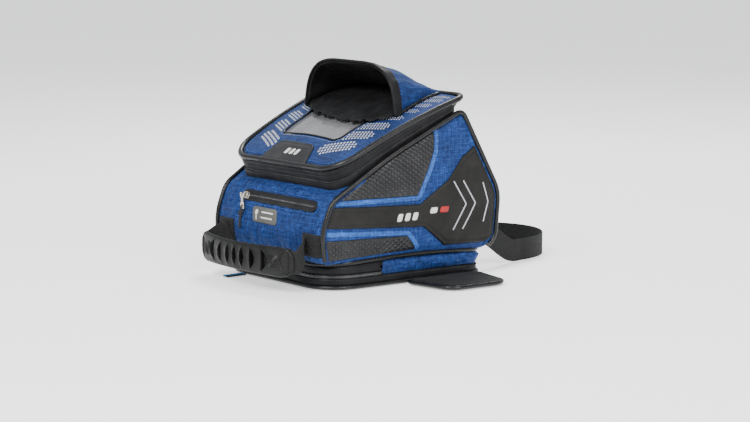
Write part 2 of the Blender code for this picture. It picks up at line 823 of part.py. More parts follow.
def build_hood(mats):
    columns = 10
    rows = [
        [hood_top_point(k / 4, -1 + 2 * i / columns) for i in range(columns + 1)]
        for k in range(5)
    ]
    sheet("hood_top", rows, HOOD_CLOTH, mats["blue"], around=False)
    mouth = [hood_top_point(1, -1 + 2 * i / columns) for i in range(columns + 1)]
    forward = Vector((-2.4 * MM, 0, -1 * MM))
    tube("hood_mouth_batten", [p + forward for p in mouth], 1.5 * MM, mats["piping"])
    for side, name in ((-1, "right"), (1, "left")):
        top_row, low_row = [], []
        for k in range(5):
            along = 0.2 + 0.8 * k / 4
            head = hood_top_point(along, side) - Vector((0, side * 1.2 * MM, HOOD_CLOTH + GAP))
            foot_z = lid_top(head.x, head.y) + 1 * MM
            top_row.append(head)
            foot_y = head.y + (side * HOOD_HALF_FOOT - head.y) * along
            low_row.append(Vector((head.x, foot_y, foot_z)))
        rows = [top_row, low_row] if side < 0 else [low_row, top_row]
        sheet(f"hood_side_{name}", rows, HOOD_CLOTH, mats["blue"], around=False)


# ---------------------------------------------------------------- handle


def build_handle(mats):
    arc = 12
    outer, inner = [], []
    for k in range(arc + 1):
        share = -1 + 2 * k / arc
        y = share * GRIP_HALF
        bow = GRIP_BOW * share * share
        outer.append(Vector((GRIP_X + bow, y)))
        inner.append(Vector((GRIP_X + bow + GRIP_THICK, y)))
    outline = inner + list(reversed(outer))
    half = GRIP_TALL / 2
    plate("handle_grip", outline, GRIP_Z - half, GRIP_Z + half, mats["grip"])
    wall = rear_wall_x(ANCHOR_Z) - 2 * MM
    end_x = GRIP_X + GRIP_BOW + GRIP_THICK + 1 * MM
    for side, name in ((-1, "right"), (1, "left")):
        size = (WEB_THICK, 17 * MM, WEB_WIDE)
        at = (wall - WEB_THICK / 2, side * 80.5 * MM, ANCHOR_Z)
        box(f"handle_anchor_{name}", size, at, mats["webbing"])
        path = [
            Vector((wall - WEB_THICK - 1.4 * MM, side * 76 * MM, ANCHOR_Z - 2 * MM)),
            Vector((wall - 9 * MM, side * 74.5 * MM, 43 * MM)),
            Vector((wall - 17 * MM, side * 74.5 * MM, 38 * MM)),
            Vector((end_x, side * 74 * MM, GRIP_Z)),
        ]
        if side > 0:
            path.reverse()
        ribbon(f"handle_web_{name}", path, mats["webbing"])


# ---------------------------------------------------------------- pocket and zip pulls


def on_rear_wall(z):
    """(point on the rear wall at height z and y 0, its outward normal, its lean from vertical)."""
    low = Vector((rear_wall_x(z - 5 * MM), z - 5 * MM))
    high = Vector((rear_wall_x(z + 5 * MM), z + 5 * MM))
    lean = math.atan2(high.x - low.x, high.y - low.y)
    out = Vector((-math.cos(lean), 0, math.sin(lean)))
    return Vector((rear_wall_x(z), 0, z)), out, lean


def build_pocket(mats):
    """The key pocket's zip, slider, pull and label on the rear wall."""
    face, out, lean = on_rear_wall(POCKET_Z)
    length = POCKET_ZIP_LEFT - POCKET_ZIP_RIGHT
    middle = Vector((0, (POCKET_ZIP_LEFT + POCKET_ZIP_RIGHT) / 2, 0))
    size = (TAPE_THICK, length, POCKET_ZIP_TALL)
    tape = box("pocket_zip_tape", size, face + middle + out * 1.4 * MM, mats["zip"])
    tape.rotation_euler.y = lean
    slider_y = Vector((0, POCKET_ZIP_LEFT - 8 * MM, 0))
    slider_at = face + slider_y + out * 4.6 * MM
    slider = box("pocket_slider", (4.4 * MM, 10 * MM, 8 * MM), slider_at, mats["metal"], 0.8 * MM)
    slider.rotation_euler.y = lean
    shape = ((-2.4, -17), (2.4, -17), (2.9, 2), (-2.9, 2))
    outline = rounded_outline([Vector(p) * MM for p in shape], [1.2 * MM] * 4, 3)
    pull = flat_shape("pocket_pull", outline, 1.4 * MM, mats["metal"])
    pull.rotation_euler = (math.pi / 2, 0, math.pi / 2)
    pull.location = slider_at + Vector((-5.2 * MM, 0, 0))
    cord_top = pull.location + Vector((-3 * MM, 0, -18.8 * MM))
    cord = [cord_top + Vector((-0.5 * MM * k, 0, -5 * MM * k)) for k in range(5)]
    tube("pocket_pull_cord", cord, 1.4 * MM, mats["cord"])
    face, out, lean = on_rear_wall(LABEL_Z)
    label_at = face + Vector((0, 8 * MM, 0)) + out * 0.9 * MM
    label = box("pocket_label", (0.8 * MM, 44 * MM, 17 * MM), label_at, mats["label"])
    label.rotation_euler.y = lean


def build_zip_slider(mats, name, at, turn, pull_long, pull_out):
    """A slider on the left side's zip, with its pull hanging outside it. turn is about Z."""
    slider = box(f"{name}_slider", SLIDER_SIZE, (0, 0, 0), mats["metal"], 0.8 * MM)
    size = (5 * MM, 1.4 * MM, pull_long)
    pull = box(f"{name}_pull", size, (0, 0, 0), mats["cord"], 0.5 * MM)
    place = Matrix.Translation(at) @ Matrix.Rotation(turn, 4, "Z")
    slider.matrix_world = place
    pull.matrix_world = place @ Matrix.Translation((0, pull_out, 2 * MM - pull_long / 2))


def build_side_sliders(mats):
    pull_out = SLIDER_SIZE[1] / 2 + GAP + 0.7 * MM
    lid_turn = math.atan((LID_HALF_FRONT - LID_HALF_REAR) / (LID_FRONT - LID_REAR))
    ring = [p for p in band_loop(SPLIT_SHARE) if p.y > 60 * MM]
    behind = max((p for p in ring if p.x < LID_SLIDER_X), key=lambda p: p.x)
    ahead = min((p for p in ring if p.x >= LID_SLIDER_X), key=lambda p: p.x)
    on_zip = behind.lerp(ahead, (LID_SLIDER_X - behind.x) / (ahead.x - behind.x))
    at = on_zip + Vector((0, SLIDER_SIZE[1] / 2 + 2.8 * MM, 0))
    build_zip_slider(mats, "lid_zip", at, lid_turn * 0.8, 18 * MM, pull_out)
    y = BASE_HALF_REAR + TAPER * (BASE_SLIDER_X - BASE_REAR)
    at = Vector((BASE_SLIDER_X, y + SLIDER_SIZE[1] / 2 + 1.8 * MM, ZIP_LOWER_TOP))
    build_zip_slider(mats, "base_zip", at, math.atan(TAPER), 10.5 * MM, pull_out)


# ---------------------------------------------------------------- the whole bag


def make_materials():
    return {
        "blue": material("blue_fabric", (0.035, 0.10, 0.38), 0.75),
        "black_pvc": material("black_coated_fabric", (0.025, 0.025, 0.027), 0.55),
        "piping": material("piping_vinyl", (0.03, 0.03, 0.03), 0.4),
        "armour": material("moulded_rubber_panel", (0.035, 0.034, 0.032), 0.6),
        "rubber": material("anti_slip_rubber", (0.02, 0.02, 0.02), 0.9),
        "grip": material("grip_rubber", (0.03, 0.03, 0.03), 0.7),
        "wing": material("wing_flap_cloth", (0.025, 0.025, 0.025), 0.8),
        "webbing": material("webbing", (0.02, 0.02, 0.02), 0.85),
        "foam": material("eva_foam", (0.06, 0.06, 0.07), 0.9),
        "board": material("stiffener_board", (0.1, 0.1, 0.1), 0.7),
        "liner": material("lining_cloth", (0.012, 0.012, 0.012), 0.8),
        "zip": material("zip_tape", (0.015, 0.015, 0.015), 0.5),
        "metal": material("slider_metal", (0.6, 0.57, 0.52), 0.3, 1.0),
        "cord": material("pull_cord", (0.015, 0.015, 0.015), 0.7),
        "label": material("label_rubber", (0.2, 0.2, 0.19), 0.6),
        "tab": material("woven_tab", (0.02, 0.16, 0.32), 0.7),
        "plastic": material("buckle_plastic", (0.02, 0.02, 0.02), 0.4),
        "magnet": material("magnet_steel", (0.25, 0.25, 0.26), 0.35, 1.0),
        "clear": material("window_film", (0.7, 0.7, 0.72), 0.15),
    }


def hang(name, at, pieces):
    """An empty on a joint's axis, with the pieces that turn about it parented to it."""
    pivot = bpy.data.objects.new(name, None)
    pivot.empty_display_size = 0.01
    pivot.location = at
    PARTS.objects.link(pivot)
    bpy.context.view_layer.update()
    for piece in pieces:
        obj = bpy.data.objects[piece]
        if obj.parent is None:
            obj.parent = pivot
            obj.matrix_parent_inverse = pivot.matrix_world.inverted()


def hang_moving_pieces():
    """Puts every moving piece under an empty on its joint's axis."""
    sides = ("left", "right")
    split = Vector((RIM_FRONT, 0, rim_z(RIM_FRONT)))
    split = split.lerp(Vector((LID_FRONT, 0, lid_top(LID_FRONT))), SPLIT_SHARE)
    hood = ["hood_top", "hood_mouth_batten"] + [f"hood_side_{side}" for side in sides]
    hang("hood_pivot", (HOOD_HINGE_X, 0, lid_top(HOOD_HINGE_X) + 4 * MM), hood)
    lid = ["lid_band", "lid_zip_upper", "lid_piping", "lid_panel", "window_film", "lid_foam"]
    hang("lid_pivot", split, lid + ["lid_badge", "hood_pivot"])
    handle = ["handle_grip"] + [f"handle_web_{side}" for side in sides]
    wall = rear_wall_x(ANCHOR_Z)
    hang("handle_pivot", (wall - 5 * MM, 0, ANCHOR_Z - 2 * MM), handle)
    pull_at = bpy.data.objects["pocket_pull"].location
    hang("pocket_pull_pivot", pull_at, ["pocket_pull", "pocket_pull_cord"])
    for side, sign in (("left", 1), ("right", -1)):
        middle_x = (WING_REAR + WING_FRONT) / 2
        edge_y = BASE_HALF_REAR + TAPER * (middle_x - BASE_REAR) + WING_GAP - 0.5 * MM
        pieces = [f"wing_{side}_flap", f"wing_{side}_slot", f"wing_{side}_magnet"]
        hang(f"wing_{side}_pivot", (middle_x, sign * edge_y, 0.5 * MM), pieces)


def main():
    global PARTS, CUTTERS
    clear_scene()
    PARTS = collection("tank_bag")
    CUTTERS = collection("cutters", hidden=True)
    mats = make_materials()
    build_base(mats)
    build_rear_tab(mats)
    build_wings(mats)
    build_front_strap(mats)
    build_zip_ring(mats)
    build_sides(mats)
    build_ends(mats)
    build_floor_and_liner(mats)
    build_rim(mats)
    build_lid(mats)
    build_hood(mats)
    build_handle(mats)
    build_pocket(mats)
    build_side_sliders(mats)
    hang_moving_pieces()


main()
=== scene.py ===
"""The looks of the motorcycle tank bag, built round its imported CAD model.

The script works in millimetres, +X forward, +Y to the rider's left, +Z up, and every mesh is
scaled to metres as it is made. Outlines on a panel are drawn flat, filled with points, and then
laid on the panel's own curved surface.
"""

import math

import bmesh
import bpy
import numpy as np
from mathutils import Matrix, Vector, noise
from mathutils.geometry import delaunay_2d_cdt


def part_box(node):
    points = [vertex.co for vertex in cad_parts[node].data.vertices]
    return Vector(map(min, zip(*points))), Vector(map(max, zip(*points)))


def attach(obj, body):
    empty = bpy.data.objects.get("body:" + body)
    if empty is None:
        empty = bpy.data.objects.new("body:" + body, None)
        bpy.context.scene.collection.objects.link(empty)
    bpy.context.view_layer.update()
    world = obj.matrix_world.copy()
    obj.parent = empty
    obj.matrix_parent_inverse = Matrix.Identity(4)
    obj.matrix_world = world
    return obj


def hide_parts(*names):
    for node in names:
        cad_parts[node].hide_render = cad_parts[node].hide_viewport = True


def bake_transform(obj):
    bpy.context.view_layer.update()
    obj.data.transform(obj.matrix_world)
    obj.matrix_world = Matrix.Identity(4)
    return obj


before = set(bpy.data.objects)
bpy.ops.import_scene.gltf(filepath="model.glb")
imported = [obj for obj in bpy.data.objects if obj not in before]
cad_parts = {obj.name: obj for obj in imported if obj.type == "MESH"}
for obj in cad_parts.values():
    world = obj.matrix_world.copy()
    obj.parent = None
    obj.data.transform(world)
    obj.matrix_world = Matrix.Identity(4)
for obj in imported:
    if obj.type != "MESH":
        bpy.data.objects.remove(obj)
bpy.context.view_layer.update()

MM = 0.001
UP = Vector((0, 0, 1))
SIDES = ((-1, "right"), (1, "left"))

# ---------------------------------------------------------------- the CAD model's own dimensions

# The sides spread by TAPER mm for each mm forwards. A half is a half width, measured from the
# middle of the bag. SIDE_CORNERS are the (x, z, corner radius) of the side panel's outline.
TAPER = 0.07
BASE = dict(rear=-103, front=104, half_rear=92, half_front=106.49, radius_rear=38, radius_front=18)
SIDE_CORNERS = [
    (-108, 29, 4),
    (20, 33, 300),
    (117, 28, 22),
    (122, 92, 40),
    (71, 185, 8),
    (-26, 140, 400),
    (-99, 97, 26),
    (-114, 62, 60),
]

# The rim is the foot of the black band, and the lid's edge is its top. SPLIT_SHARE is how far up
# the band the lid's zip runs.
LID_REAR, LID_FRONT = -93, 74
LID_HALF_REAR, LID_HALF_FRONT = 95, 111
LID_CROWN = 9
RIM_REAR, RIM_FRONT = -84, 71
RIM_HALF_REAR, RIM_HALF_FRONT = 93, 105
SPLIT_SHARE = 0.3
WINDOW = dict(rear=-56, front=60, half_rear=50, half_front=60, radius_rear=8, radius_front=10)
HOOD_HINGE_X, HOOD_MOUTH_X, HOOD_MOUTH_Z = 68, 1, 224

# The base zip runs round the rear, up to ZIP_END_X. The grip's ends are GRIP_BOW mm nearer to
# the bag than its middle, which is at GRIP_X.
ZIP_END_X = -31
GRIP_X, GRIP_HALF, GRIP_TALL, GRIP_THICK, GRIP_Z, GRIP_BOW = -157, 84, 34, 7, 34, 14.5


# ---------------------------------------------------------------- outlines


def fillet(before, corner, after, radius, steps):
    """Points of the arc that rounds a corner."""
    a = (before - corner).normalized()
    b = (after - corner).normalized()
    half = a.angle(b) / 2
    centre = corner + (a + b).normalized() * (radius / math.sin(half))
    start = corner + a * (radius / math.tan(half)) - centre
    turn = math.pi - 2 * half
    if a.x * b.y - a.y * b.x > 0:
        turn = -turn
    return [centre + Matrix.Rotation(turn * k / steps, 2) @ start for k in range(steps + 1)]


def rounded(corners, steps=10):
    """A closed outline from (x, y, radius) corners, anticlockwise."""
    points = [Vector(c[:2]) for c in corners]
    outline = []
    for i, (_, _, radius) in enumerate(corners):
        after = points[(i + 1) % len(points)]
        if radius:
            outline += fillet(points[i - 1], points[i], after, radius, steps)
        else:
            outline.append(points[i])
    return outline


def quad(rear, front, half_rear, half_front, radius_rear, radius_front, grow=0.0):
    """A plan outline, anticlockwise, moved outwards by grow."""
    low, high = half_rear + grow, half_front + grow
    return rounded(
        [
            (rear - grow, -low, radius_rear + grow),
            (front + grow, -high, radius_front + grow),
            (front + grow, high, radius_front + grow),
            (rear - grow, low, radius_rear + grow),
        ]
    )


def measured(points, closed):
    """Running length at each point, with the way back to the first if closed."""
    ring = list(points) + ([points[0]] if closed else [])
    lengths = [0.0]
    for a, b in zip(ring, ring[1:]):
        lengths.append(lengths[-1] + (b - a).length)
    return ring, np.array(lengths)


def resampled(points, spacing=None, count=None, closed=True):
    """Evenly spaced points along an outline or an open run."""
    ring, lengths = measured(points, closed)
    if count is None:
        count = max(3, round(lengths[-1] / spacing)) + (0 if closed else 1)
    marks = np.linspace(0, lengths[-1], count + 1)[:-1] if closed else np.linspace(0, lengths[-1], count)
    table = np.array([tuple(p) for p in ring])
    columns = [np.interp(marks, lengths, table[:, k]) for k in range(table.shape[1])]
    return [Vector(p) for p in zip(*columns)]


def offset(points, distance, closed=True):
    """The line moved to its left, which is inwards for an anticlockwise outline."""
    moved = []
    last = len(points) - 1
    for i, p in enumerate(points):
        before = points[i - 1] if closed else points[max(i - 1, 0)]
        after = points[(i + 1) % len(points)] if closed else points[min(i + 1, last)]
        along = (after - before).normalized()
        moved.append(p + Vector((-along.y, along.x)) * distance)
    return moved


def band(path, width, shift=0.0):
    """A closed outline of a strip beside an open path, on its left."""
    path = resampled(path, 1.5, closed=False)
    near, far = offset(path, shift, False), offset(path, shift + width, False)
    return near + list(reversed(far))


def edge_distance(outline, points):
    """Distance of each 2D point to a closed outline, and whether it is inside."""
    a = np.array([tuple(p) for p in outline])
    b = np.roll(a, -1, 0)
    along = b - a
    size = np.maximum((along**2).sum(1), 1e-9)
    pts = np.asarray(points, float).reshape(-1, 2)
    to = pts[:, None, :] - a[None]
    share = np.clip((to * along[None]).sum(2) / size, 0, 1)
    gap = to - share[..., None] * along[None]
    distance = np.sqrt((gap**2).sum(2)).min(1)
    crosses = (a[None, :, 1] > pts[:, None, 1]) != (b[None, :, 1] > pts[:, None, 1])
    rise = np.where(np.abs(along[:, 1]) < 1e-9, 1e-9, along[:, 1])
    cut_x = a[:, 0] + along[:, 0] * (pts[:, None, 1] - a[:, 1]) / rise
    inside = (crosses & (pts[:, None, 0] < cut_x)).sum(1) % 2 == 1
    return distance, inside


def filled(outline, spacing, rings=(), extra=()):
    """Flat points and triangles that fill an outline: rings follow its edge, a lattice the rest."""
    edge = resampled(outline, spacing)
    if sum(a.x * b.y - a.y * b.x for a, b in zip(edge, edge[1:] + edge[:1])) < 0:
        edge.reverse()
    found = []
    for distance in rings:
        ring = offset(edge, distance)
        gap, inside = edge_distance(edge, [tuple(p) for p in ring])
        found += [p for p, g, i in zip(ring, gap, inside) if i and g > 0.93 * distance]
    found += list(extra)
    clear = (max(rings) if rings else 0) + 0.55 * spacing
    low = np.array([min(p[k] for p in edge) for k in (0, 1)])
    high = np.array([max(p[k] for p in edge) for k in (0, 1)])
    rows = int((high[1] - low[1]) / (0.87 * spacing)) + 1
    columns = int((high[0] - low[0]) / spacing) + 2
    lattice = [
        (low[0] + (i + 0.5 * (k % 2)) * spacing, low[1] + k * 0.87 * spacing)
        for k in range(rows + 1)
        for i in range(columns)
    ]
    gap, inside = edge_distance(edge, lattice)
    inner = [Vector(p) for p, g, i in zip(lattice, gap, inside) if i and g > clear]
    if extra:
        near = np.array([tuple(p) for p in extra])
        inner = [p for p in inner if (((near - np.array(p)) ** 2).sum(1)).min() > (0.5 * spacing) ** 2]
    points = edge + found + inner
    bound = [(i, (i + 1) % len(edge)) for i in range(len(edge))]
    verts, _, faces, *_ = delaunay_2d_cdt(points, bound, [], 1, 1e-5)
    return [Vector(v) for v in verts], [tuple(f) for f in faces]


# ---------------------------------------------------------------- meshes


def mesh_object(name, points, faces, mat, smooth=True):
    data = bpy.data.meshes.new(name)
    data.from_pydata([tuple(Vector(p) * MM) for p in points], [], [tuple(f) for f in faces])
    data.update()
    if smooth:
        data.shade_smooth()
    if mat:
        data.materials.append(mat)
    obj = bpy.data.objects.new(name, data)
    bpy.context.scene.collection.objects.link(obj)
    return obj


def thicken(obj, thickness, outwards=False):
    solid = obj.modifiers.new("thickness", "SOLIDIFY")
    solid.thickness = thickness * MM
    solid.offset = 1 if outwards else -1
    return obj


def baked(obj):
    """The object with its modifiers applied to its mesh."""
    graph = bpy.context.evaluated_depsgraph_get()
    data = bpy.data.meshes.new_from_object(obj.evaluated_get(graph))
    obj.modifiers.clear()
    obj.data = data
    return obj


def loft(name, rows, mat, around=True, thickness=0.0, cap=False):
    """A surface through rows of points, each row the same length."""
    width = len(rows[0])
    points = [p for row in rows for p in row]
    faces = []
    for k in range(len(rows) - 1):
        for i in range(width if around else width - 1):
            j = (i + 1) % width
            faces.append((k * width + i, k * width + j, (k + 1) * width + j, (k + 1) * width + i))
    if cap:
        faces.append(tuple(range((len(rows) - 1) * width, len(rows) * width)))
    obj = mesh_object(name, points, faces, mat)
    return thicken(obj, thickness) if thickness else obj


def sweep_parts(path, section, ups, closed=False, scale=None):
    """Points and faces of a section carried along a path; section is (along up, to the side)."""
    count, width = len(path), len(section)
    points, faces = [], []
    for i, p in enumerate(path):
        before = path[i - 1] if closed or i else p
        after = path[(i + 1) % count] if closed or i < count - 1 else p
        along = (after - before).normalized()
        up = ups[i] if isinstance(ups, list) else ups
        side = along.cross(up).normalized()
        upright = side.cross(along)
        size = scale[i] if scale else 1.0
        points += [p + (upright * a + side * b) * size for a, b in section]
    for i in range(count if closed else count - 1):
        j = (i + 1) % count
        for k in range(width):
            m = (k + 1) % width
            faces.append((i * width + k, i * width + m, j * width + m, j * width + k))
    if not closed:
        faces.append(tuple(reversed(range(width))))
        faces.append(tuple((count - 1) * width + k for k in range(width)))
    return points, faces


def sweep(name, path, section, ups, mat, closed=False):
    points, faces = sweep_parts(path, section, ups, closed)
    obj = mesh_object(name, points, faces, mat)
    obj.data.set_sharp_from_angle(angle=math.radians(50))
    return obj


def circle(radius, sides=12, squash=1.0):
    turns = [math.tau * k / sides for k in range(sides)]
    return [(radius * math.cos(t), radius * squash * math.sin(t)) for t in turns]


def ribbed(width, thickness, ribs):
    """A webbing section: flat edges and rounded ribs running along it."""
    steps = 6 * ribs
    face = []
    for k in range(steps + 1):
        share = k / steps
        hill = abs(math.sin(math.pi * ribs * share))
        face.append(((share - 0.5) * width, thickness / 2 * (0.72 + 0.28 * hill)))
    return face + [(a, -b) for a, b in reversed(face)]


def many(name, shapes, mat, smooth=True):
    """One mesh from several (points, faces) shapes."""
    points, faces = [], []
    for shape_points, shape_faces in shapes:
        start = len(points)
        points += shape_points
        faces += [tuple(start + i for i in f) for f in shape_faces]
    return mesh_object(name, points, faces, mat, smooth)


def stitch_shapes(path, normals, pitch=3.4, length=2.3, radius=0.42, closed=False):
    """Short raised threads along a path; normals is one vector or one for each path point."""
    ring, lengths = measured(path, closed)
    fixed = not isinstance(normals, list)
    ways = [normals] * len(ring) if fixed else normals + ([normals[0]] if closed else [])
    table = np.array([tuple(p) for p in ring])
    lean = np.array([tuple(n) for n in ways])

    def at(values, mark):
        return Vector([np.interp(mark, lengths, values[:, k]) for k in range(3)])

    shapes = []
    for i in range(int(lengths[-1] / pitch)):
        middle = (i + 0.5) * pitch
        ends = [at(table, middle + length * s) for s in (-0.5, -0.3, 0, 0.3, 0.5)]
        normal = at(lean, middle).normalized()
        line = [p + normal * radius * h for p, h in zip(ends, (-0.6, 0.3, 0.6, 0.3, -0.6))]
        section = circle(radius, 6)
        shapes.append(sweep_parts(line, section, normal, scale=[0.5, 1, 1, 1, 0.5]))
    return shapes


def finish_piece(obj, body, nodes=()):
    """Rides the piece on its body and the CAD nodes that it stands for."""
    if body:
        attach(obj, body)
    if nodes:
        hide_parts(*nodes)
    return obj


# ---------------------------------------------------------------- materials


WAVE_PERIOD = math.tau / 20


class Look:
    """A node material: the Principled shader, and short calls that add what feeds it."""

    def __init__(self, name, **sockets):
        self.mat = bpy.data.materials.new(name)
        self.mat.use_nodes = True
        self.tree = self.mat.node_tree
        self.shader = self.tree.nodes["Principled BSDF"]
        for socket, value in sockets.items():
            self.shader.inputs[socket.replace("_", " ")].default_value = value
        self.place = self.add("TexCoord").outputs["Object"]

    def add(self, kind, props=None, **inputs):
        node = self.tree.nodes.new("ShaderNode" + kind)
        for key, value in (props or {}).items():
            setattr(node, key, value)
        for key, value in inputs.items():
            index = int(key[1:]) if key[1:].isdigit() else key.replace("_", " ")
            self.feed(node.inputs[index], value)
        return node

    def feed(self, socket, value):
        if isinstance(value, bpy.types.NodeSocket):
            self.tree.links.new(value, socket)
        else:
            socket.default_value = value

    def maths(self, operation, a, b=0.0):
        return self.add("Math", {"operation": operation}, i0=a, i1=b).outputs[0]

    def flat(self, plane, stretch=(1, 1)):
        """The place on a panel as a flat vector, from two of the object's axes."""
        split = self.add("SeparateXYZ", Vector=self.place)
        u = self.maths("MULTIPLY", split.outputs["XYZ".index(plane[0])], stretch[0])
        v = self.maths("MULTIPLY", split.outputs["XYZ".index(plane[1])], stretch[1])
        return self.add("CombineXYZ", X=u, Y=v).outputs[0]

    def noise(self, scale, vector=None, detail=3.0, rough=0.55):
        vector = vector or self.place
        return self.add("TexNoise", Vector=vector, Scale=scale, Detail=detail, Roughness=rough).outputs[0]

    def ramp(self, factor, stops):
        """A colour or grey ramp from (position, colour) stops."""
        node = self.add("ValToRGB", Fac=factor)
        ramp = node.color_ramp
        while len(ramp.elements) < len(stops):
            ramp.elements.new(0.5)
        for element, (position, colour) in zip(ramp.elements, stops):
            element.position = position
            element.color = (*colour, 1.0) if isinstance(colour, tuple) else (colour, colour, colour, 1.0)
        return node.outputs[0]

    def mix(self, factor, a, b, kind="MIX"):
        return self.add("MixRGB", {"blend_type": kind}, Fac=factor, Color1=a, Color2=b).outputs[0]

    def colour(self, socket):
        self.feed(self.shader.inputs["Base Color"], socket)

    def roughness(self, factor, low, high):
        self.feed(self.shader.inputs["Roughness"], self.ramp(factor, [(0.3, low), (0.7, high)]))

    def bump(self, height, distance, strength=1.0):
        """Adds a bump over those already there."""
        normal = self.shader.inputs["Normal"]
        node = self.add("Bump", Height=height, Strength=strength, Distance=distance * MM)
        if normal.links:
            self.tree.links.new(normal.links[0].from_socket, node.inputs["Normal"])
        self.tree.links.new(node.outputs[0], normal)

    def stripes(self, plane, scale, distortion):
        """Two sets of waves, one along each axis of a panel."""
        vector = self.flat(plane)
        waves = []
        for direction in "XY":
            props = {"wave_type": "BANDS", "bands_direction": direction}
            wave = self.add("TexWave", props, Vector=vector, Scale=scale, Distortion=distortion)
            waves.append(wave.outputs["Fac"])
        return waves

    def weave(self, plane, pitch):
        """Over-and-under threads on a panel: a chequer of rounded bumps, about pitch mm apart."""
        scale = WAVE_PERIOD / (pitch * MM)
        return self.maths("MULTIPLY", *self.stripes(plane, scale, 0.6))

    def ripstop(self, plane, pitch):
        """1 on the thicker threads of a square grid, pitch mm apart, else 0."""
        scale = WAVE_PERIOD / (pitch * MM)
        waves = self.stripes(plane, scale, 0.35)
        lines = [self.ramp(wave, [(0.93, 0.0), (0.985, 1.0)]) for wave in waves]
        return self.maths("MAXIMUM", *lines)


def fabric_blue(plane, name, dark, mid, light):
    """Heathered nylon: streaks of lighter thread, a fine weave, ripstop lines and a soft sheen."""
    look = Look(name, Sheen_Weight=0.06, Sheen_Roughness=0.4, Specular_IOR_Level=0.16)
    look.shader.inputs["Sheen Tint"].default_value = (0.4, 0.6, 1.0, 1.0)
    across = look.noise(95, look.flat(plane, (1, 7)), 5, 0.72)
    along = look.noise(95, look.flat(plane, (7, 1)), 5, 0.72)
    threads = look.maths("MULTIPLY", look.maths("ADD", across, along), 0.5)
    base = look.ramp(threads, [(0.40, dark), (0.5, mid), (0.61, light)])
    patches = look.ramp(look.noise(22, detail=2), [(0.35, 0.72), (0.65, 1.15)])
    weave = look.weave(plane, 1.1)
    shade = look.ramp(weave, [(0.0, 0.78), (0.6, 1.1)])
    cloth = look.mix(1.0, look.mix(1.0, base, patches, "MULTIPLY"), shade, "MULTIPLY")
    lines = look.ripstop(plane, 5.4)
    look.colour(look.mix(look.maths("MULTIPLY", lines, 0.30), cloth, (*light, 1.0)))
    look.roughness(threads, 0.55, 0.78)
    look.bump(look.noise(60, detail=4), 0.9, 0.6)
    look.bump(look.noise(150, detail=3), 0.35, 0.5)
    look.bump(lines, 0.18, 0.6)
    look.bump(weave, 0.22, 0.7)
    return look.mat


def fabric_black(name, colour, lift, rough=(0.5, 0.68), grain=0.9, sheen=0.02, weave=None, gloss=0.16):
    """Dark coated cloth or vinyl: fine grain, faint lighter patches of painted sheen, uneven gloss."""
    look = Look(name, Sheen_Weight=sheen, Sheen_Roughness=0.5, Specular_IOR_Level=gloss)
    # The lighter colour, lift, is painted sheen: faint highlights laid into the colour in noise patches.
    painted_sheen = look.noise(38, detail=6, rough=0.7)
    look.colour(look.ramp(painted_sheen, [(0.35, colour), (0.75, lift)]))
    look.roughness(look.noise(55, detail=3), *rough)
    look.bump(look.noise(45, detail=3), 0.5, 0.35)
    if weave:
        look.bump(look.weave(weave, 1.0), 0.2, 0.7)
    else:
        cells = look.add("TexVoronoi", Vector=look.place, Scale=1000 / grain).outputs["Distance"]
        look.bump(cells, 0.12, 0.55)
    return look.mat


def rubber(name, colour, lift, rough=(0.5, 0.66), grain=0.7, dust=0.5):
    """Matt moulded rubber: very fine grain and a bloom of paler dust in patches."""
    look = Look(name, Specular_IOR_Level=0.17)
    bloom = look.noise(30, detail=5, rough=0.65)
    look.colour(look.ramp(bloom, [(0.4, colour), (0.8, lift)]))
    look.roughness(look.noise(90, detail=4), *rough)
    look.bump(look.noise(1000 / grain, detail=2), 0.08, dust)
    look.bump(look.noise(18, detail=2), 0.8, 0.2)
    return look.mat


def webbing_look(name, colour, lift, pitch):
    """Woven polyester: slanted thread rows over the ribs, with light fuzz."""
    look = Look(name, Sheen_Weight=0.04, Sheen_Roughness=0.6, Specular_IOR_Level=0.12)
    split = look.add("SeparateXYZ", Vector=look.place)
    ground = look.maths("ADD", split.outputs[0], split.outputs[1])
    slant = look.add("CombineXYZ", X=look.maths("ADD", ground, split.outputs[2]))
    scale = WAVE_PERIOD / (pitch * MM)
    rows = look.add("TexWave", Vector=slant.outputs[0], Scale=scale, Distortion=1.0).outputs["Fac"]
    fuzz = look.noise(420, detail=4, rough=0.7)
    row_colour = look.ramp(rows, [(0.1, colour), (0.9, lift)])
    fuzz_colour = look.ramp(fuzz, [(0.4, colour), (0.7, lift)])
    look.colour(look.mix(0.5, row_colour, fuzz_colour))
    look.roughness(fuzz, 0.7, 0.9)
    look.bump(rows, 0.25, 0.7)
    look.bump(fuzz, 0.1, 0.5)
    return look.mat


def metal(name, colour, rough):
    """Cast or stamped metal with darker worn patches."""
    look = Look(name, Metallic=1.0)
    wear = look.noise(180, detail=5, rough=0.7)
    darker = tuple(c * 0.6 for c in colour)
    look.colour(look.ramp(wear, [(0.35, darker), (0.55, colour)]))
    look.roughness(look.noise(300, detail=3), rough, rough + 0.18)
    look.bump(look.noise(500, detail=3), 0.04, 0.4)
    return look.mat


def vinyl_film(name):
    """Clear vinyl gone slightly milky, glossy, with faint creases and scratches."""
    look = Look(name, Coat_Weight=0.6, Coat_Roughness=0.06, IOR=1.5, Alpha=0.62)
    haze = look.noise(14, detail=3)
    look.colour(look.ramp(haze, [(0.3, (0.15, 0.15, 0.158)), (0.7, (0.26, 0.26, 0.27))]))
    look.roughness(look.noise(40, detail=4), 0.12, 0.3)
    look.bump(look.noise(30, look.flat("XY", (1, 3)), 2), 1.2, 0.35)
    return look.mat


def print_ink(name, colour):
    """Printed ink, slightly worn."""
    look = Look(name, Specular_IOR_Level=0.4)
    worn = look.noise(160, detail=5, rough=0.7)
    faded = tuple(c * 0.72 for c in colour)
    look.colour(look.ramp(worn, [(0.3, faded), (0.5, colour)]))
    look.roughness(worn, 0.45, 0.6)
    look.bump(worn, 0.05, 0.5)
    return look.mat


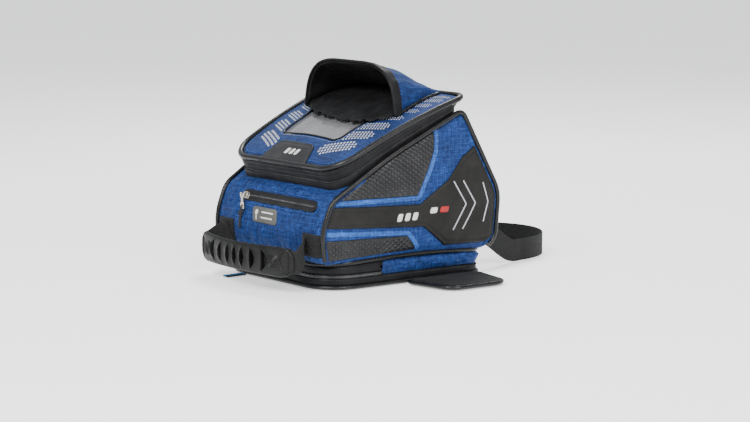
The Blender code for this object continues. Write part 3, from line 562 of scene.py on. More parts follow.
def make_looks():
    blue = ((0.003, 0.012, 0.060), (0.007, 0.027, 0.125), (0.026, 0.080, 0.285))
    # pale is painted sheen: a lighter copy of the blue nylon for the trim bindings, whose paleness is light
    # caught on their folds.
    pale = ((0.012, 0.045, 0.190), (0.024, 0.082, 0.310), (0.070, 0.180, 0.500))
    deep = [tuple(0.74 * c for c in colour) for colour in blue]
    looks = {f"blue_{plane}": fabric_blue(plane, f"blue_nylon_{plane}", *blue) for plane in ("XZ", "YZ")}
    looks["blue_XY"] = fabric_blue("XY", "blue_nylon_XY", *deep)
    looks.update(
        pale_XZ=fabric_blue("XZ", "sheen_lit_blue_trim", *pale),
        band=fabric_black(
            "coated_band", (0.0045, 0.0045, 0.005), (0.013, 0.013, 0.0142), (0.42, 0.6), gloss=0.13
        ),
        piping=fabric_black(
            "piping_vinyl", (0.0035, 0.0035, 0.0038), (0.009, 0.009, 0.0095), (0.2, 0.34), 0.6, 0.0,
            gloss=0.3
        ),
        cells=fabric_black(
            "cell_textured_cloth", (0.007, 0.007, 0.0075), (0.022, 0.022, 0.023), (0.24, 0.38), 0.7, 0.0,
            gloss=0.26
        ),
        armour=rubber("moulded_rubber_panel", (0.0085, 0.0082, 0.0073), (0.019, 0.0182, 0.0162)),
        grip=rubber("grip_rubber", (0.005, 0.005, 0.005), (0.014, 0.014, 0.0145), (0.36, 0.54)),
        pad=rubber("anti_slip_rubber", (0.012, 0.012, 0.012), (0.030, 0.030, 0.030), (0.75, 0.9), 1.6, 0.9),
        label=rubber("label_rubber", (0.075, 0.075, 0.070), (0.120, 0.120, 0.112), (0.45, 0.6)),
        badge=rubber("badge_rubber", (0.017, 0.017, 0.0185), (0.036, 0.036, 0.038)),
        webbing=webbing_look("woven_webbing", (0.005, 0.005, 0.005), (0.024, 0.024, 0.024), 1.6),
        cord=webbing_look("pull_cord", (0.010, 0.010, 0.010), (0.050, 0.050, 0.050), 1.0),
        tab=webbing_look("woven_tab_centre", (0.010, 0.100, 0.260), (0.020, 0.220, 0.480), 1.0),
        lining=fabric_black(
            "lining_cloth", (0.003, 0.003, 0.0033), (0.009, 0.009, 0.010), (0.55, 0.75), sheen=0.0,
            weave="XY", gloss=0.2
        ),
        wing=fabric_black(
            "wing_cloth", (0.007, 0.007, 0.007), (0.020, 0.020, 0.020), (0.6, 0.8), weave="XY"
        ),
        zip=fabric_black("zip_tape", (0.005, 0.005, 0.0055), (0.016, 0.016, 0.017), (0.5, 0.7), 0.8),
        coil=fabric_black(
            "zip_coil", (0.022, 0.022, 0.023), (0.075, 0.075, 0.077), (0.14, 0.26), 0.5, 0.0, gloss=0.6
        ),
        thread=webbing_look("dark_thread", (0.012, 0.012, 0.013), (0.045, 0.045, 0.048), 0.8),
        blue_thread=webbing_look("blue_thread", (0.020, 0.070, 0.280), (0.060, 0.150, 0.480), 0.8),
        metal=metal("slider_metal", (0.50, 0.47, 0.42), 0.24),
        magnet=metal("magnet_plate", (0.30, 0.30, 0.31), 0.3),
        plastic=rubber("buckle_plastic", (0.008, 0.008, 0.008), (0.018, 0.018, 0.018), (0.3, 0.45), 0.9),
        board=fabric_black("stiffener_board", (0.05, 0.05, 0.05), (0.10, 0.10, 0.10), (0.6, 0.8)),
        film=vinyl_film("window_vinyl"),
        backing=fabric_black(
            "map_pocket_backing", (0.12, 0.12, 0.127), (0.20, 0.20, 0.208), (0.6, 0.8), 1.0
        ),
        grey_ink=print_ink("silver_print", (0.42, 0.43, 0.46)),
        white_ink=print_ink("white_print", (0.62, 0.62, 0.60)),
        red_ink=print_ink("red_print", (0.34, 0.008, 0.010)),
    )
    return looks


LOOKS = make_looks()


# ---------------------------------------------------------------- camera, floor and lights


def make_stage():
    scene = bpy.context.scene
    camera = bpy.data.objects.new("camera", bpy.data.cameras.new("camera"))
    scene.collection.objects.link(camera)
    camera.location = Vector((-1525, -1936, 431)) * MM
    aim = Vector((37, 0, 64)) * MM
    camera.rotation_mode = "QUATERNION"
    camera.rotation_quaternion = (aim - camera.location).to_track_quat("-Z", "Y")
    camera.data.lens = 107
    camera.data.sensor_width = 36
    camera.data.clip_start = 0.05
    camera.data.clip_end = 50
    scene.camera = camera
    floor_look = Look("pale_floor", Roughness=0.75, Specular_IOR_Level=0.2, Emission_Strength=0.62)
    floor_look.shader.inputs["Emission Color"].default_value = (1.0, 1.0, 1.0, 1.0)
    floor_look.colour(floor_look.ramp(floor_look.noise(3, detail=2), [(0.3, 0.87), (0.7, 0.9)]))
    half = 6000
    corners = [(-half, -half, 0), (half, -half, 0), (half, half, 0), (-half, half, 0)]
    floor = mesh_object("floor", corners, [(0, 1, 2, 3)], floor_look.mat)
    floor.location.z = -0.0005
    world = bpy.data.worlds.new("studio")
    world.use_nodes = True
    world.node_tree.nodes["Background"].inputs[0].default_value = (0.95, 0.97, 1.0, 1.0)
    world.node_tree.nodes["Background"].inputs[1].default_value = 0.88
    scene.world = world
    lights = (
        ("key", (-1700, -700, 1600), 0.7, 54),
        ("side_key", (-200, -1900, 1300), 0.9, 34),
        ("front_rim", (900, 700, 1700), 0.8, 34),
    )
    for name, place, size, power in lights:
        lamp = bpy.data.objects.new(name, bpy.data.lights.new(name, "AREA"))
        scene.collection.objects.link(lamp)
        lamp.data.size = size
        lamp.data.energy = power
        lamp.location = Vector(place) * MM
        lamp.rotation_mode = "QUATERNION"
        lamp.rotation_quaternion = (Vector((0, 0, 0.09)) - lamp.location).to_track_quat("-Z", "Y")


make_stage()


# ---------------------------------------------------------------- soft shapes


def ease(x):
    """A smooth step from 0 to 1."""
    x = np.clip(x, 0, 1)
    return x * x * (3 - 2 * x)


def wobble(x, y, z, scale, seed=0.0):
    """A smooth uneven height, about -1 to 1, that varies over scale mm; seed picks another one."""
    return noise.noise(Vector((x / scale + seed, y / scale + 2 * seed, z / scale - seed)))


def settle(obj, held, growth, pressure, frames, cap):
    """Lets cloth cut a little too big wrinkle between its held points; then keeps the mesh.

    No point moves by more than cap mm from where it was drawn.
    """
    rest = np.array([v.co for v in obj.data.vertices])
    group = obj.vertex_groups.new(name="held")
    for index, weight in enumerate(held):
        group.add([index], float(weight), "REPLACE")
    cloth = obj.modifiers.new("cloth", "CLOTH")
    settings = cloth.settings
    settings.vertex_group_mass = "held"
    settings.pin_stiffness = 1.0
    settings.shrink_min = -growth
    settings.tension_stiffness = 6.0
    settings.compression_stiffness = 6.0
    settings.bending_stiffness = 0.3
    settings.quality = 6
    settings.mass = 0.15
    settings.use_pressure = pressure != 0
    settings.uniform_pressure_force = pressure
    settings.effector_weights.gravity = 0
    cloth.collision_settings.use_collision = False
    cloth.point_cache.frame_start = 1
    cloth.point_cache.frame_end = frames
    scene = bpy.context.scene
    for number in range(1, frames + 1):
        scene.frame_set(number)
    graph = bpy.context.evaluated_depsgraph_get()
    moved = np.array([v.co for v in obj.evaluated_get(graph).data.vertices])
    obj.modifiers.remove(cloth)
    scene.frame_set(1)
    step = moved - rest
    size = np.linalg.norm(step, axis=1, keepdims=True)
    limit = cap * MM
    step *= np.where(size > limit, limit / np.maximum(size, 1e-9), 1.0)
    obj.data.vertices.foreach_set("co", (rest + step).astype(np.float32).ravel())
    obj.data.update()
    obj.vertex_groups.clear()
    return obj


# ---------------------------------------------------------------- sides

SIDE_OUTLINE = rounded(SIDE_CORNERS)
SIDE_EDGE = resampled(SIDE_OUTLINE, 2.0)
SIDE_PUFF = 4.0
SIDE_TUCK = 3.0
SKIN_THICK = 4.5


def side_half(x):
    return 97 + TAPER * (x + 103)


def side_points(flat, side, rise=0.0):
    """Flat (x, z) points laid on the side panel's crowned surface; side is -1 right, 1 left."""
    spots = np.array([tuple(p) for p in flat])
    distance, inside = edge_distance(SIDE_EDGE, spots)
    distance = np.where(inside, distance, 0)
    rises = np.broadcast_to(rise, distance.shape)
    placed = []
    for (x, z), d, up in zip(spots, distance, rises):
        crown = -SIDE_TUCK + SIDE_TUCK * ease(d / 9) + SIDE_PUFF * (1 - math.exp(-d / 22))
        sag = 0.9 * wobble(x, 0, z, 45, 3.0 * side) * ease(d / 25)
        placed.append(Vector((x, side * (side_half(x) + crown + sag + up), z)))
    return placed


def turned(faces, side):
    """Faces that point out on the side: the right side keeps the flat order, the left reverses it."""
    return faces if side < 0 else [tuple(reversed(f)) for f in faces]


def rounded_rise(distance, height, radius):
    """The height of a patch that rounds over at its edge."""
    share = np.clip(distance / radius, 0, 1)
    return height * np.sqrt(1 - (1 - share) ** 2)


def side_patch(name, outline, side, mat, height, spacing=3.0, rings=(0.4, 1.0), groove=None, relief=None):
    """A panel sewn or moulded on the side, standing height above it, with a rounded edge."""
    marks = list(rings)
    if groove:
        marks += [groove - 0.9, groove, groove + 0.9]
    flat, faces = filled(outline, spacing, sorted(marks))
    spots = [tuple(p) for p in flat]
    distance, _ = edge_distance(resampled(outline, min(spacing, 2.0)), spots)
    rise = rounded_rise(distance, height, max(rings))
    if groove:
        rise = rise - 0.7 * np.clip(1 - np.abs(distance - groove) / 0.9, 0, 1)
    if relief is not None:
        rise = rise + relief(np.array(spots)) * ease(distance / 4)
    obj = mesh_object(name, side_points(flat, side, rise), turned(faces, side), mat)
    return thicken(obj, 0.8)


def cell_relief(spots):
    """Rows of raised diamonds, the pattern of the embossed cloth."""
    wide, tall = 7.6, 5.4
    u, v = spots[:, 0] / wide, spots[:, 1] / tall
    a = np.abs(((u + v) % 1.0) - 0.5)
    b = np.abs(((u - v) % 1.0) - 0.5)
    return 1.7 * (1 - ease(np.maximum(a, b) * 2.3 - 0.1)) - 0.45


def profile_part(keep):
    """The run of the side outline, in order, for which keep(point) holds."""
    points = SIDE_EDGE
    count = len(points)
    runs = []
    for first in range(count):
        if keep(points[first]) and not keep(points[first - 1]):
            run = []
            while keep(points[(first + len(run)) % count]):
                run.append(points[(first + len(run)) % count])
            runs.append(run)
    return max(runs, key=len)


UPPER_SEAM = [Vector(p) for p in ((-96, 97.5), (9, 96), (24, 125), (31, 143), (33, 166))]
LOWER_SEAM = [Vector(p) for p in ((-109, 60), (-4, 53), (6, 41), (9, 35))]


def upper_cells():
    """The embossed area above the rubber bar, up to the sloping top edge."""
    top = offset(profile_part(lambda p: p.x < 33 and p.y > 99 and p.x > -94), 3.4, False)
    return list(UPPER_SEAM) + top


def lower_cells():
    """The embossed area below the rubber bar, down to the foot."""
    foot = offset(profile_part(lambda p: p.x < 8 and p.y < 58), 4.2, False)
    return list(reversed(LOWER_SEAM[1:])) + foot


def armour_outline():
    """The moulded rubber panel: a bar from the rear that widens to fill the front of the side."""
    front = offset(profile_part(lambda p: p.x > 60 and 38 < p.y < 148), 4, False)
    start = [(17, 61), (46, 38), (100, 37)]
    end = [(69, 134), (49, 110), (12, 86), (-100, 91), (-109, 69)]
    return [Vector(p) for p in start] + front + [Vector(p) for p in end]


def slanted_bar(x, z, long, tall, lean=2.5):
    return [Vector(p) for p in ((x, z), (x + long, z), (x + long + lean, z + tall), (x + lean, z + tall))]


def build_side_marks(side, name):
    """Plain printed shapes on the rubber: a row of slanted bars, a red one, and three chevrons."""
    height = 2.05
    white = [slanted_bar(-20 + k * 10.2, 69.5, 6.6, 8.5) for k in range(3)]
    white.append(slanted_bar(24, 75, 9, 6.5, 2))
    red = [slanted_bar(37, 75, 11, 6.5, 2)]
    for colour, shapes in (("white", white), ("red", red)):
        parts = []
        for outline in shapes:
            flat, faces = filled(rounded([(*p, 0.9) for p in outline], 3), 2.0)
            parts.append((side_points(flat, side, height), turned(faces, side)))
        obj = thicken(many(f"side_print_{colour}_{name}", parts, LOOKS[f"{colour}_ink"]), 0.25)
        finish_piece(obj, "bag_body")
    lines = []
    for shift in (0, 13):
        lines.append([(56 + shift, 108), (73 + shift, 82), (56 + shift, 54)])
    lines.append([(97, 60), (104, 82), (97, 104)])
    parts = []
    for line in lines:
        outline = band([Vector(p) for p in line], 1.5, -0.75)
        flat, faces = filled(outline, 1.5)
        parts.append((side_points(flat, side, height), turned(faces, side)))
    obj = thicken(many(f"side_emblem_{name}", parts, LOOKS["grey_ink"]), 0.25)
    finish_piece(obj, "bag_body")


def side_line(path, side, rise):
    """An open (x, z) path laid on the side, with its outward normals."""
    placed = side_points(path, side, rise)
    return placed, [Vector((-TAPER, side, 0)).normalized()] * len(placed)


def build_sides():
    for side, name in SIDES:
        flat, faces = filled(offset(SIDE_EDGE, 0.4), 4.0, (2.0, 5.0))
        points = side_points(flat, side)
        skin = mesh_object(f"side_skin_{name}", points, turned(faces, side), LOOKS["blue_XZ"])
        finish_piece(thicken(skin, SKIN_THICK), "bag_body", [f"side_panel_{name}"])
        for part, outline in (("upper", upper_cells()), ("lower", lower_cells())):
            look, piece = LOOKS["cells"], f"side_cells_{part}_{name}"
            patch = side_patch(piece, outline, side, look, 0.7, 1.0, (0.5,), relief=cell_relief)
            finish_piece(patch, "bag_body")
        # The trim strips are real raised bindings, coloured with a lighter copy of the blue as painted
        # sheen on their folds.
        for part, seam, width in (("upper", UPPER_SEAM, -5.6), ("lower", LOWER_SEAM, 5.6)):
            strip = band(seam, width, 0.2 if width > 0 else -0.2)
            look, piece = LOOKS["pale_XZ"], f"side_trim_{part}_{name}"
            trim = side_patch(piece, strip, side, look, 0.9, 2.0, (0.5, 1.2))
            finish_piece(trim, "bag_body")
        look, piece = LOOKS["armour"], f"side_rubber_{name}"
        armour = side_patch(piece, armour_outline(), side, look, 1.9, 3.0, (0.3, 0.8, 1.4), groove=4.2)
        finish_piece(armour, "bag_body", [f"side_armour_{name}"])
        build_side_marks(side, name)
        run = profile_part(lambda p: p.y > 32.5)
        line = [Vector((p.x, side * side_half(p.x), p.y)) for p in resampled(run, 3.0, closed=False)]
        cord = sweep(f"side_cord_{name}", line, circle(2.7, 12), Vector((0, 1, 0)), LOOKS["piping"])
        finish_piece(cord, "bag_body", [f"side_piping_{name}"])
        seam = offset(resampled(run, 3.0, closed=False), 4.6, False)
        threads = stitch_shapes(*side_line(seam[2:-2], side, 0.25))
        obj = many(f"side_stitches_{name}", threads, LOOKS["thread"])
        finish_piece(obj, "bag_body")


# ---------------------------------------------------------------- rear and front walls


def wall_surface(run, puff):
    """A function that lays flat (y, along) points on the wall that follows a run of the side outline."""
    ring, lengths = measured(run, False)
    table = np.array([tuple(p) for p in ring])
    total = lengths[-1]

    def lay(flat, rise=0.0):
        rises = np.broadcast_to(rise, len(flat))
        placed = []
        for p, up in zip(flat, rises):
            mark = min(max(p[1], 0), total)
            x, z = (np.interp(mark, lengths, table[:, k]) for k in (0, 1))
            ahead = [np.interp(min(mark + 2, total), lengths, table[:, k]) for k in (0, 1)]
            behind = [np.interp(max(mark - 2, 0), lengths, table[:, k]) for k in (0, 1)]
            along = Vector((ahead[0] - behind[0], ahead[1] - behind[1])).normalized()
            edge = side_half(x)
            tuck = -3.0 * (1 - ease((edge - abs(p[0])) / 10))
            crown = puff * (1 - (p[0] / edge) ** 2) * math.sin(math.pi * mark / total)
            lift = up + tuck + crown
            placed.append(Vector((x + along.y * lift, p[0], z - along.x * lift)))
        return placed

    return lay, total


def wall_outline(run, total):
    """The wall's flat outline: half a millimetre wider, at each height, than the piping lines."""
    ring, lengths = measured(run, False)
    marks = np.linspace(0, total, 24)
    xs = np.interp(marks, lengths, [p.x for p in ring])
    left = [Vector((side_half(x) + 0.5, m)) for x, m in zip(xs, marks)]
    return [Vector((-p.x, p.y)) for p in left] + list(reversed(left))


def crinkle(flat, placed, seams, amount):
    """Moves points along -x by puckers that run away from the seams and fade with distance.

    A seam is (place along the wall, how far its puckers reach, their pitch, their share of amount).
    """
    moved = []
    for p, q in zip(flat, placed):
        height = 0.0
        for line, reach, pitch, share in seams:
            gap = abs(p[1] - line)
            fade = math.exp(-gap / reach)
            ridge = 1 - abs(wobble(p[0], 3 * gap / reach, 0, pitch, line))
            height += share * fade * (ridge**2 - 0.55)
        moved.append(q - Vector((amount * height, 0, 0)))
    return moved


REAR_PROFILE = profile_part(lambda p: p.x < -58 and p.y > 30)
REAR_RUN = resampled(REAR_PROFILE[::-1], 2.0, closed=False)[::-1]
REAR_LAY, REAR_LONG = wall_surface(REAR_RUN, 1.5)
FRONT_RUN = profile_part(lambda p: p.x > 60 and 30 < p.y < 182)

# Heights on the rear wall: of the collar's seam, the key pocket, the label and the handle's ends.
COLLAR_SEAM_Z, POCKET_Z, LABEL_Z, ANCHOR_Z = 101, 90, 71, 49
CUT_ABOVE = 90
RIM_SLOPE = 0.57


def rear_mark(z):
    """How far along the rear wall, from its top, the height z is."""
    ring, lengths = measured(REAR_RUN, False)
    heights = [p.y for p in ring]
    order = np.argsort(heights)
    return float(np.interp(z, np.array(heights)[order], np.array(lengths)[order]))


def on_rear(outline_yz):
    """An outline given as (y, z) turned into the rear wall's flat coordinates."""
    return [Vector((p[0], rear_mark(p[1]))) for p in outline_yz]


def rear_patch(name, outline_yz, mat, rise, spacing=2.0, rings=(0.4, 1.0), profile=None, thick=0.8):
    outline = on_rear(outline_yz)
    flat, faces = filled(outline, spacing, rings)
    distance, _ = edge_distance(resampled(outline, spacing), [tuple(p) for p in flat])
    height = rounded_rise(distance, rise, max(rings))
    if profile:
        height = height + np.array([profile(p) for p in flat])
    placed = REAR_LAY([tuple(p) for p in flat], height)
    obj = mesh_object(name, placed, faces, mat)
    if obj.data.polygons[0].normal.x > 0:
        obj.data.flip_normals()
    return thicken(obj, thick)


def cut_open(flat, placed, faces, loop):
    """Leaves out the faces inside a loop seen from above, and lays the cut's edge on the loop.

    Only the wall above CUT_ABOVE is cut; an edge point keeps to the rim's slope as it moves.
    """
    ring = [Vector((p.x, p.y)) for p in loop]
    middles = [sum((placed[i] for i in f), Vector((0, 0, 0))) / len(f) for f in faces]
    _, gone = edge_distance(ring, [(m.x, m.y) for m in middles])
    kept = [f for f, m, cut in zip(faces, middles, gone) if not (cut and m.z > CUT_ABOVE)]
    used = sorted({i for f in kept for i in f})
    number = {old: new for new, old in enumerate(used)}
    spots = [placed[i] for i in used]
    _, inside = edge_distance(ring, [(p.x, p.y) for p in spots])
    for k, (p, inner) in enumerate(zip(spots, inside)):
        if inner and p.z > CUT_ABOVE:
            near = min(ring, key=lambda q: (q.x - p.x) ** 2 + (q.y - p.y) ** 2)
            spots[k] = Vector((near.x, near.y, p.z + RIM_SLOPE * (near.x - p.x)))
    return [flat[i] for i in used], spots, [tuple(number[i] for i in f) for f in kept]


def build_rear_wall():
    """The rear panel: puckered along its seams, and open at the top inside the collar."""
    outline = wall_outline(REAR_RUN, REAR_LONG)
    flat, faces = filled(outline, 2.6, (1.5, 4.0))
    flat = [tuple(p) for p in flat]
    rim = band_loop(0, -0.6, count=400)
    flat, smooth, faces = cut_open(flat, REAR_LAY(flat), faces, rim)
    to_rim, _ = edge_distance([Vector((p.x, p.y)) for p in rim], [(p.x, p.y) for p in smooth])
    to_rim = [gap if p.z > CUT_ABOVE else 99 for gap, p in zip(to_rim, smooth)]
    zip_line, band_line = rear_mark(POCKET_Z), rear_mark(COLLAR_SEAM_Z)
    seams = [(band_line, 9, 7, 2.1), (rear_mark(80), 7, 8, 0.6), (rear_mark(33), 14, 13, 0.8)]
    placed = crinkle(flat, smooth, seams, 4.8)
    for i, (p, q) in enumerate(zip(flat, placed)):
        side_fade = math.exp(-(side_half(q.x) - abs(p[0])) / 14)
        fold = wobble(p[0] * 0.5, 0, q.z, 8, 5.0) * side_fade
        placed[i] = q - Vector((3.4 * fold, 0, 0))
    # The puckers fade out at the rim and at the sides, so the wall's edges stay where they are.
    to_side = [side_half(q.x) - abs(p[0]) for p, q in zip(flat, smooth)]
    free = [float(ease((gap - 1) / 4) * ease((edge - 0.5) / 5)) for gap, edge in zip(to_rim, to_side)]
    placed = [p.lerp(q, share) for p, q, share in zip(smooth, placed, free)]
    obj = mesh_object("rear_skin", placed, faces, LOOKS["blue_YZ"])
    if sum(p.normal.x for p in obj.data.polygons) > 0:
        obj.data.flip_normals()
    held = [1.0 if gap < 3 or sewn_rear(p, zip_line) else 0.0 for p, gap in zip(flat, to_rim)]
    settle(obj, held, 0.05, 0.8, frames=14, cap=3.2)
    finish_piece(thicken(obj, SKIN_THICK), "bag_body", ["rear_panel"])


def build_front_wall():
    """The front panel, with slow waves, held along its edges."""
    lay, total = wall_surface(FRONT_RUN, 4.0)
    outline = wall_outline(FRONT_RUN, total)
    flat, faces = filled(outline, 4.0, (1.5, 4.0))
    flat = [tuple(p) for p in flat]
    placed = lay(flat)
    for i, (p, q) in enumerate(zip(flat, placed)):
        fold = wobble(p[0] * 0.5, 0, q.z, 16, 2.0) + 0.5 * wobble(p[0], 0, q.z, 8, 4.0)
        placed[i] = q + Vector((0.9 * fold, 0, 0))
    obj = mesh_object("front_skin", placed, faces, LOOKS["blue_YZ"])
    if sum(p.normal.x for p in obj.data.polygons) < 0:
        obj.data.flip_normals()
    held = []
    for (y, mark), q in zip(flat, placed):
        near_edge = abs(y) > side_half(q.x) - 4 or not 4 < mark < total - 4
        held.append(1.0 if near_edge else 0.0)
    settle(obj, held, 0.03, 0.6, frames=12, cap=3.0)
    finish_piece(thicken(obj, SKIN_THICK), "bag_body", ["front_panel"])


def sewn_rear(p, zip_line):
    """True where the rear cloth is sewn down: its edges, the zip, and the handle's ends."""
    y, mark = p
    near_edge = abs(y) > 90 or mark < 4 or mark > REAR_LONG - 4
    near_zip = -84 < y < 62 and abs(mark - zip_line) < 9
    near_anchor = abs(y) > 62 and abs(mark - rear_mark(ANCHOR_Z)) < 14
    near_label = -16 < y < 32 and abs(mark - rear_mark(LABEL_Z)) < 10
    return near_edge or near_zip or near_anchor or near_label


# ---------------------------------------------------------------- base


def base_ring(z, grow=0.0, keep=None, spacing=4.0):
    """A ring of the base's outline at height z, which may be a number or a function of x."""
    outline = resampled(quad(**BASE, grow=grow), spacing)
    if keep:
        first = next(i for i, p in enumerate(outline) if keep(p) and not keep(outline[i - 1]))
        outline = [p for p in outline[first:] + outline[:first] if keep(p)]
    return [Vector((p.x, p.y, z(p.x) if callable(z) else z)) for p in outline]


def foot_rise(x):
    """The upper piping's height: it follows the side panels' foot."""
    share = min(max((x + 108) / 225, 0), 1)
    return 27.2 + 3.6 * math.sin(math.pi * share)


def build_base():
    behind = lambda p: p.x < ZIP_END_X + 1
    ahead = lambda p: p.x > ZIP_END_X - 2
    profile = ((3.2, 0.6), (4.5, 1.6), (7.5, 2.2), (10.6, 2.0), (11.9, 1.5), (12.4, 0.9))
    rows = [base_ring(z, grow) for z, grow in profile]
    obj = loft("base_lower_wrap", rows, LOOKS["band"], thickness=1.6)
    finish_piece(obj, "bag_body", ["base_lower_band"])
    top = lambda x: foot_rise(x) - 2.2
    rows = []
    for share, grow in ((0, 0.8), (0.06, 1.5), (0.2, 2.1), (0.5, 2.7), (0.85, 1.6), (1, 0.2)):
        rows.append(base_ring(lambda x, s=share: 16.6 + (top(x) - 16.6) * s, grow, behind))
    obj = loft("base_upper_wrap", rows, LOOKS["band"], around=False, thickness=1.4)
    finish_piece(obj, "bag_body", ["base_upper_band"])
    rows = []
    for k in range(9):
        share = k / 8
        ring = base_ring(lambda x, s=share: 12.4 + (top(x) - 12.4) * s, 0.3, ahead, 2.5)
        normals = offset([Vector((p.x, p.y)) for p in ring], -1, False)
        row = []
        for p, q in zip(ring, normals):
            out = Vector((q.x - p.x, q.y - p.y, 0))
            bulge = 3.0 * math.sin(math.pi * share)
            lean = 0.8 * (p.z - 12)
            fold = 3.4 * wobble(p.x + lean, p.y, p.z * 0.5, 9) + 1.9 * wobble(p.x - lean, p.y, p.z, 4.5, 3)
            row.append(p + out * (bulge + fold * math.sin(math.pi * share)))
        rows.append(row)
    obj = loft("base_front_cloth", rows, LOOKS["blue_XZ"], around=False, thickness=1.2)
    finish_piece(obj, "bag_body", ["base_front_gusset"])
    for name, z, grow, radius, node in (
        ("base_upper_cord", foot_rise, 0.9, 2.7, "base_upper_piping"),
        ("base_lower_cord", 3.0, 2.4, 2.1, "base_lower_piping"),
    ):
        obj = sweep(name, base_ring(z, grow, spacing=3), circle(radius), UP, LOOKS["piping"], closed=True)
        finish_piece(obj, "bag_body", [node])
    build_coil_zip("base", base_ring(14.3, 1.3, behind, 2.0), "bag_body", "bag_body", 1.25, 1.9)
    for name, z, grow in (("upper", 22.4, 2.1), ("lower", 10.6, 1.9)):
        ring = base_ring(z, grow, behind if name == "upper" else None, 3)
        normals = [Vector((p.x, p.y, 0)).normalized() for p in ring]
        threads = stitch_shapes(ring, normals, closed=name == "lower")
        obj = many(f"base_stitches_{name}", threads, LOOKS["thread"])
        finish_piece(obj, "bag_body")


def build_coil_zip(name, line, lower_body, upper_body, size, pitch=1.7):
    """A coil zip along a line: two cloth tapes, each with a row of coil teeth that meet in the middle."""
    flat = [Vector((p.x, p.y)) for p in line]
    outward = [Vector((q.x - p.x, q.y - p.y, 0)) for p, q in zip(flat, offset(flat, -1, False))]
    for part, sign, body in (("lower", -1, lower_body), ("upper", 1, upper_body)):
        rows = []
        for rise, out in ((0.15, -0.1), (0.8, 0.1), (1.9, 0.15)):
            rows.append([p + w * out + UP * sign * rise for p, w in zip(line, outward)])
        if sign < 0:
            rows.reverse()
        obj = loft(f"{name}_tape_{part}", rows, LOOKS["zip"], around=False, thickness=0.7)
        finish_piece(obj, body, [f"{name}_zip_{part}"])
        shapes = []
        ring, lengths = measured(line, False)
        table = np.array([tuple(p) for p in ring])
        lean = np.array([tuple(w) for w in outward])
        for k in range(int(lengths[-1] / pitch) - 1):
            mark = (k + (0.75 if sign > 0 else 0.25)) * pitch
            spot = Vector([np.interp(mark, lengths, table[:, i]) for i in range(3)])
            out = Vector([np.interp(mark, lengths, lean[:, i]) for i in range(3)]).normalized()
            ends = [spot + out * (0.75 * size) + UP * sign * h * size for h in (-0.35, 0.0, 0.9, 1.3)]
            ends[-1] -= out * 0.5 * size
            shapes.append(sweep_parts(ends, circle(0.42 * size, 6), out))
        teeth = many(f"{name}_coil_{part}", shapes, LOOKS["coil"])
        finish_piece(teeth, body)


# ---------------------------------------------------------------- lid


def lid_top(x, y=None):
    """Height of the lid's top surface; with no y, at its edge."""
    run = x - LID_REAR
    z = 129.6 + 0.555 * run - 0.0008 * run * run
    if y is None:
        return z
    share = run / (LID_FRONT - LID_REAR)
    half = LID_HALF_REAR + (LID_HALF_FRONT - LID_HALF_REAR) * share
    along = max(0.0, 1 - (2 * share - 1) ** 4)
    return z + LID_CROWN * along * max(0.0, 1 - (y / half) ** 2)


def rim_z(x):
    run = x - RIM_REAR
    return 108 + 0.575 * run - 0.0005 * run * run


def lid_quad(grow=0.0, count=None):
    outline = quad(LID_REAR, LID_FRONT, LID_HALF_REAR, LID_HALF_FRONT, 32, 12, grow)
    return resampled(outline, count=count) if count else outline


def band_loop(share, grow=0.0, count=220):
    """A ring of the lid's band: share 0 is the rim, 1 the lid's top edge."""
    low = resampled(quad(RIM_REAR, RIM_FRONT, RIM_HALF_REAR, RIM_HALF_FRONT, 24, 12, grow), count=count)
    high = lid_quad(grow, count)
    ring = []
    for a, b in zip(low, high):
        foot = Vector((a.x, a.y, rim_z(a.x)))
        head = Vector((b.x, b.y, lid_top(b.x)))
        ring.append(foot.lerp(head, share))
    return ring


def on_lid(flat, rise=0.0):
    """Flat (x, y) points laid on the lid's top surface, with the cloth's slow waves."""
    rises = np.broadcast_to(rise, len(flat))
    placed = []
    for p, up in zip(flat, rises):
        wave = 0.7 * wobble(p[0], p[1], 0, 38, 9) + 0.25 * wobble(p[0], p[1], 0, 12, 2)
        placed.append(Vector((p[0], p[1], lid_top(p[0], p[1]) + up + wave)))
    return placed


def lid_run(ring):
    """The ring without its straight front, where the lid is hinged."""
    keep = [p.x < LID_FRONT - 8 for p in ring]
    first = next(i for i in range(len(ring)) if keep[i] and not keep[i - 1])
    order = ring[first:] + ring[:first]
    return [p for p in order if p.x < LID_FRONT - 8]


def lid_patch(name, outline, mat, rise, spacing=3.0, rings=(0.4, 1.0), thick=0.8, groove=None, relief=None):
    marks = sorted(list(rings) + ([groove - 0.8, groove, groove + 0.8] if groove else []))
    flat, faces = filled(outline, spacing, marks)
    spots = [tuple(p) for p in flat]
    distance, _ = edge_distance(resampled(outline, min(spacing, 2.0)), spots)
    height = rounded_rise(distance, rise, max(rings))
    if groove:
        height = height - 0.6 * np.clip(1 - np.abs(distance - groove) / 0.8, 0, 1)
    if relief:
        height = height + np.array([relief(*s) for s in spots])
    obj = mesh_object(name, on_lid(spots, height), faces, mat)
    return thicken(obj, thick)


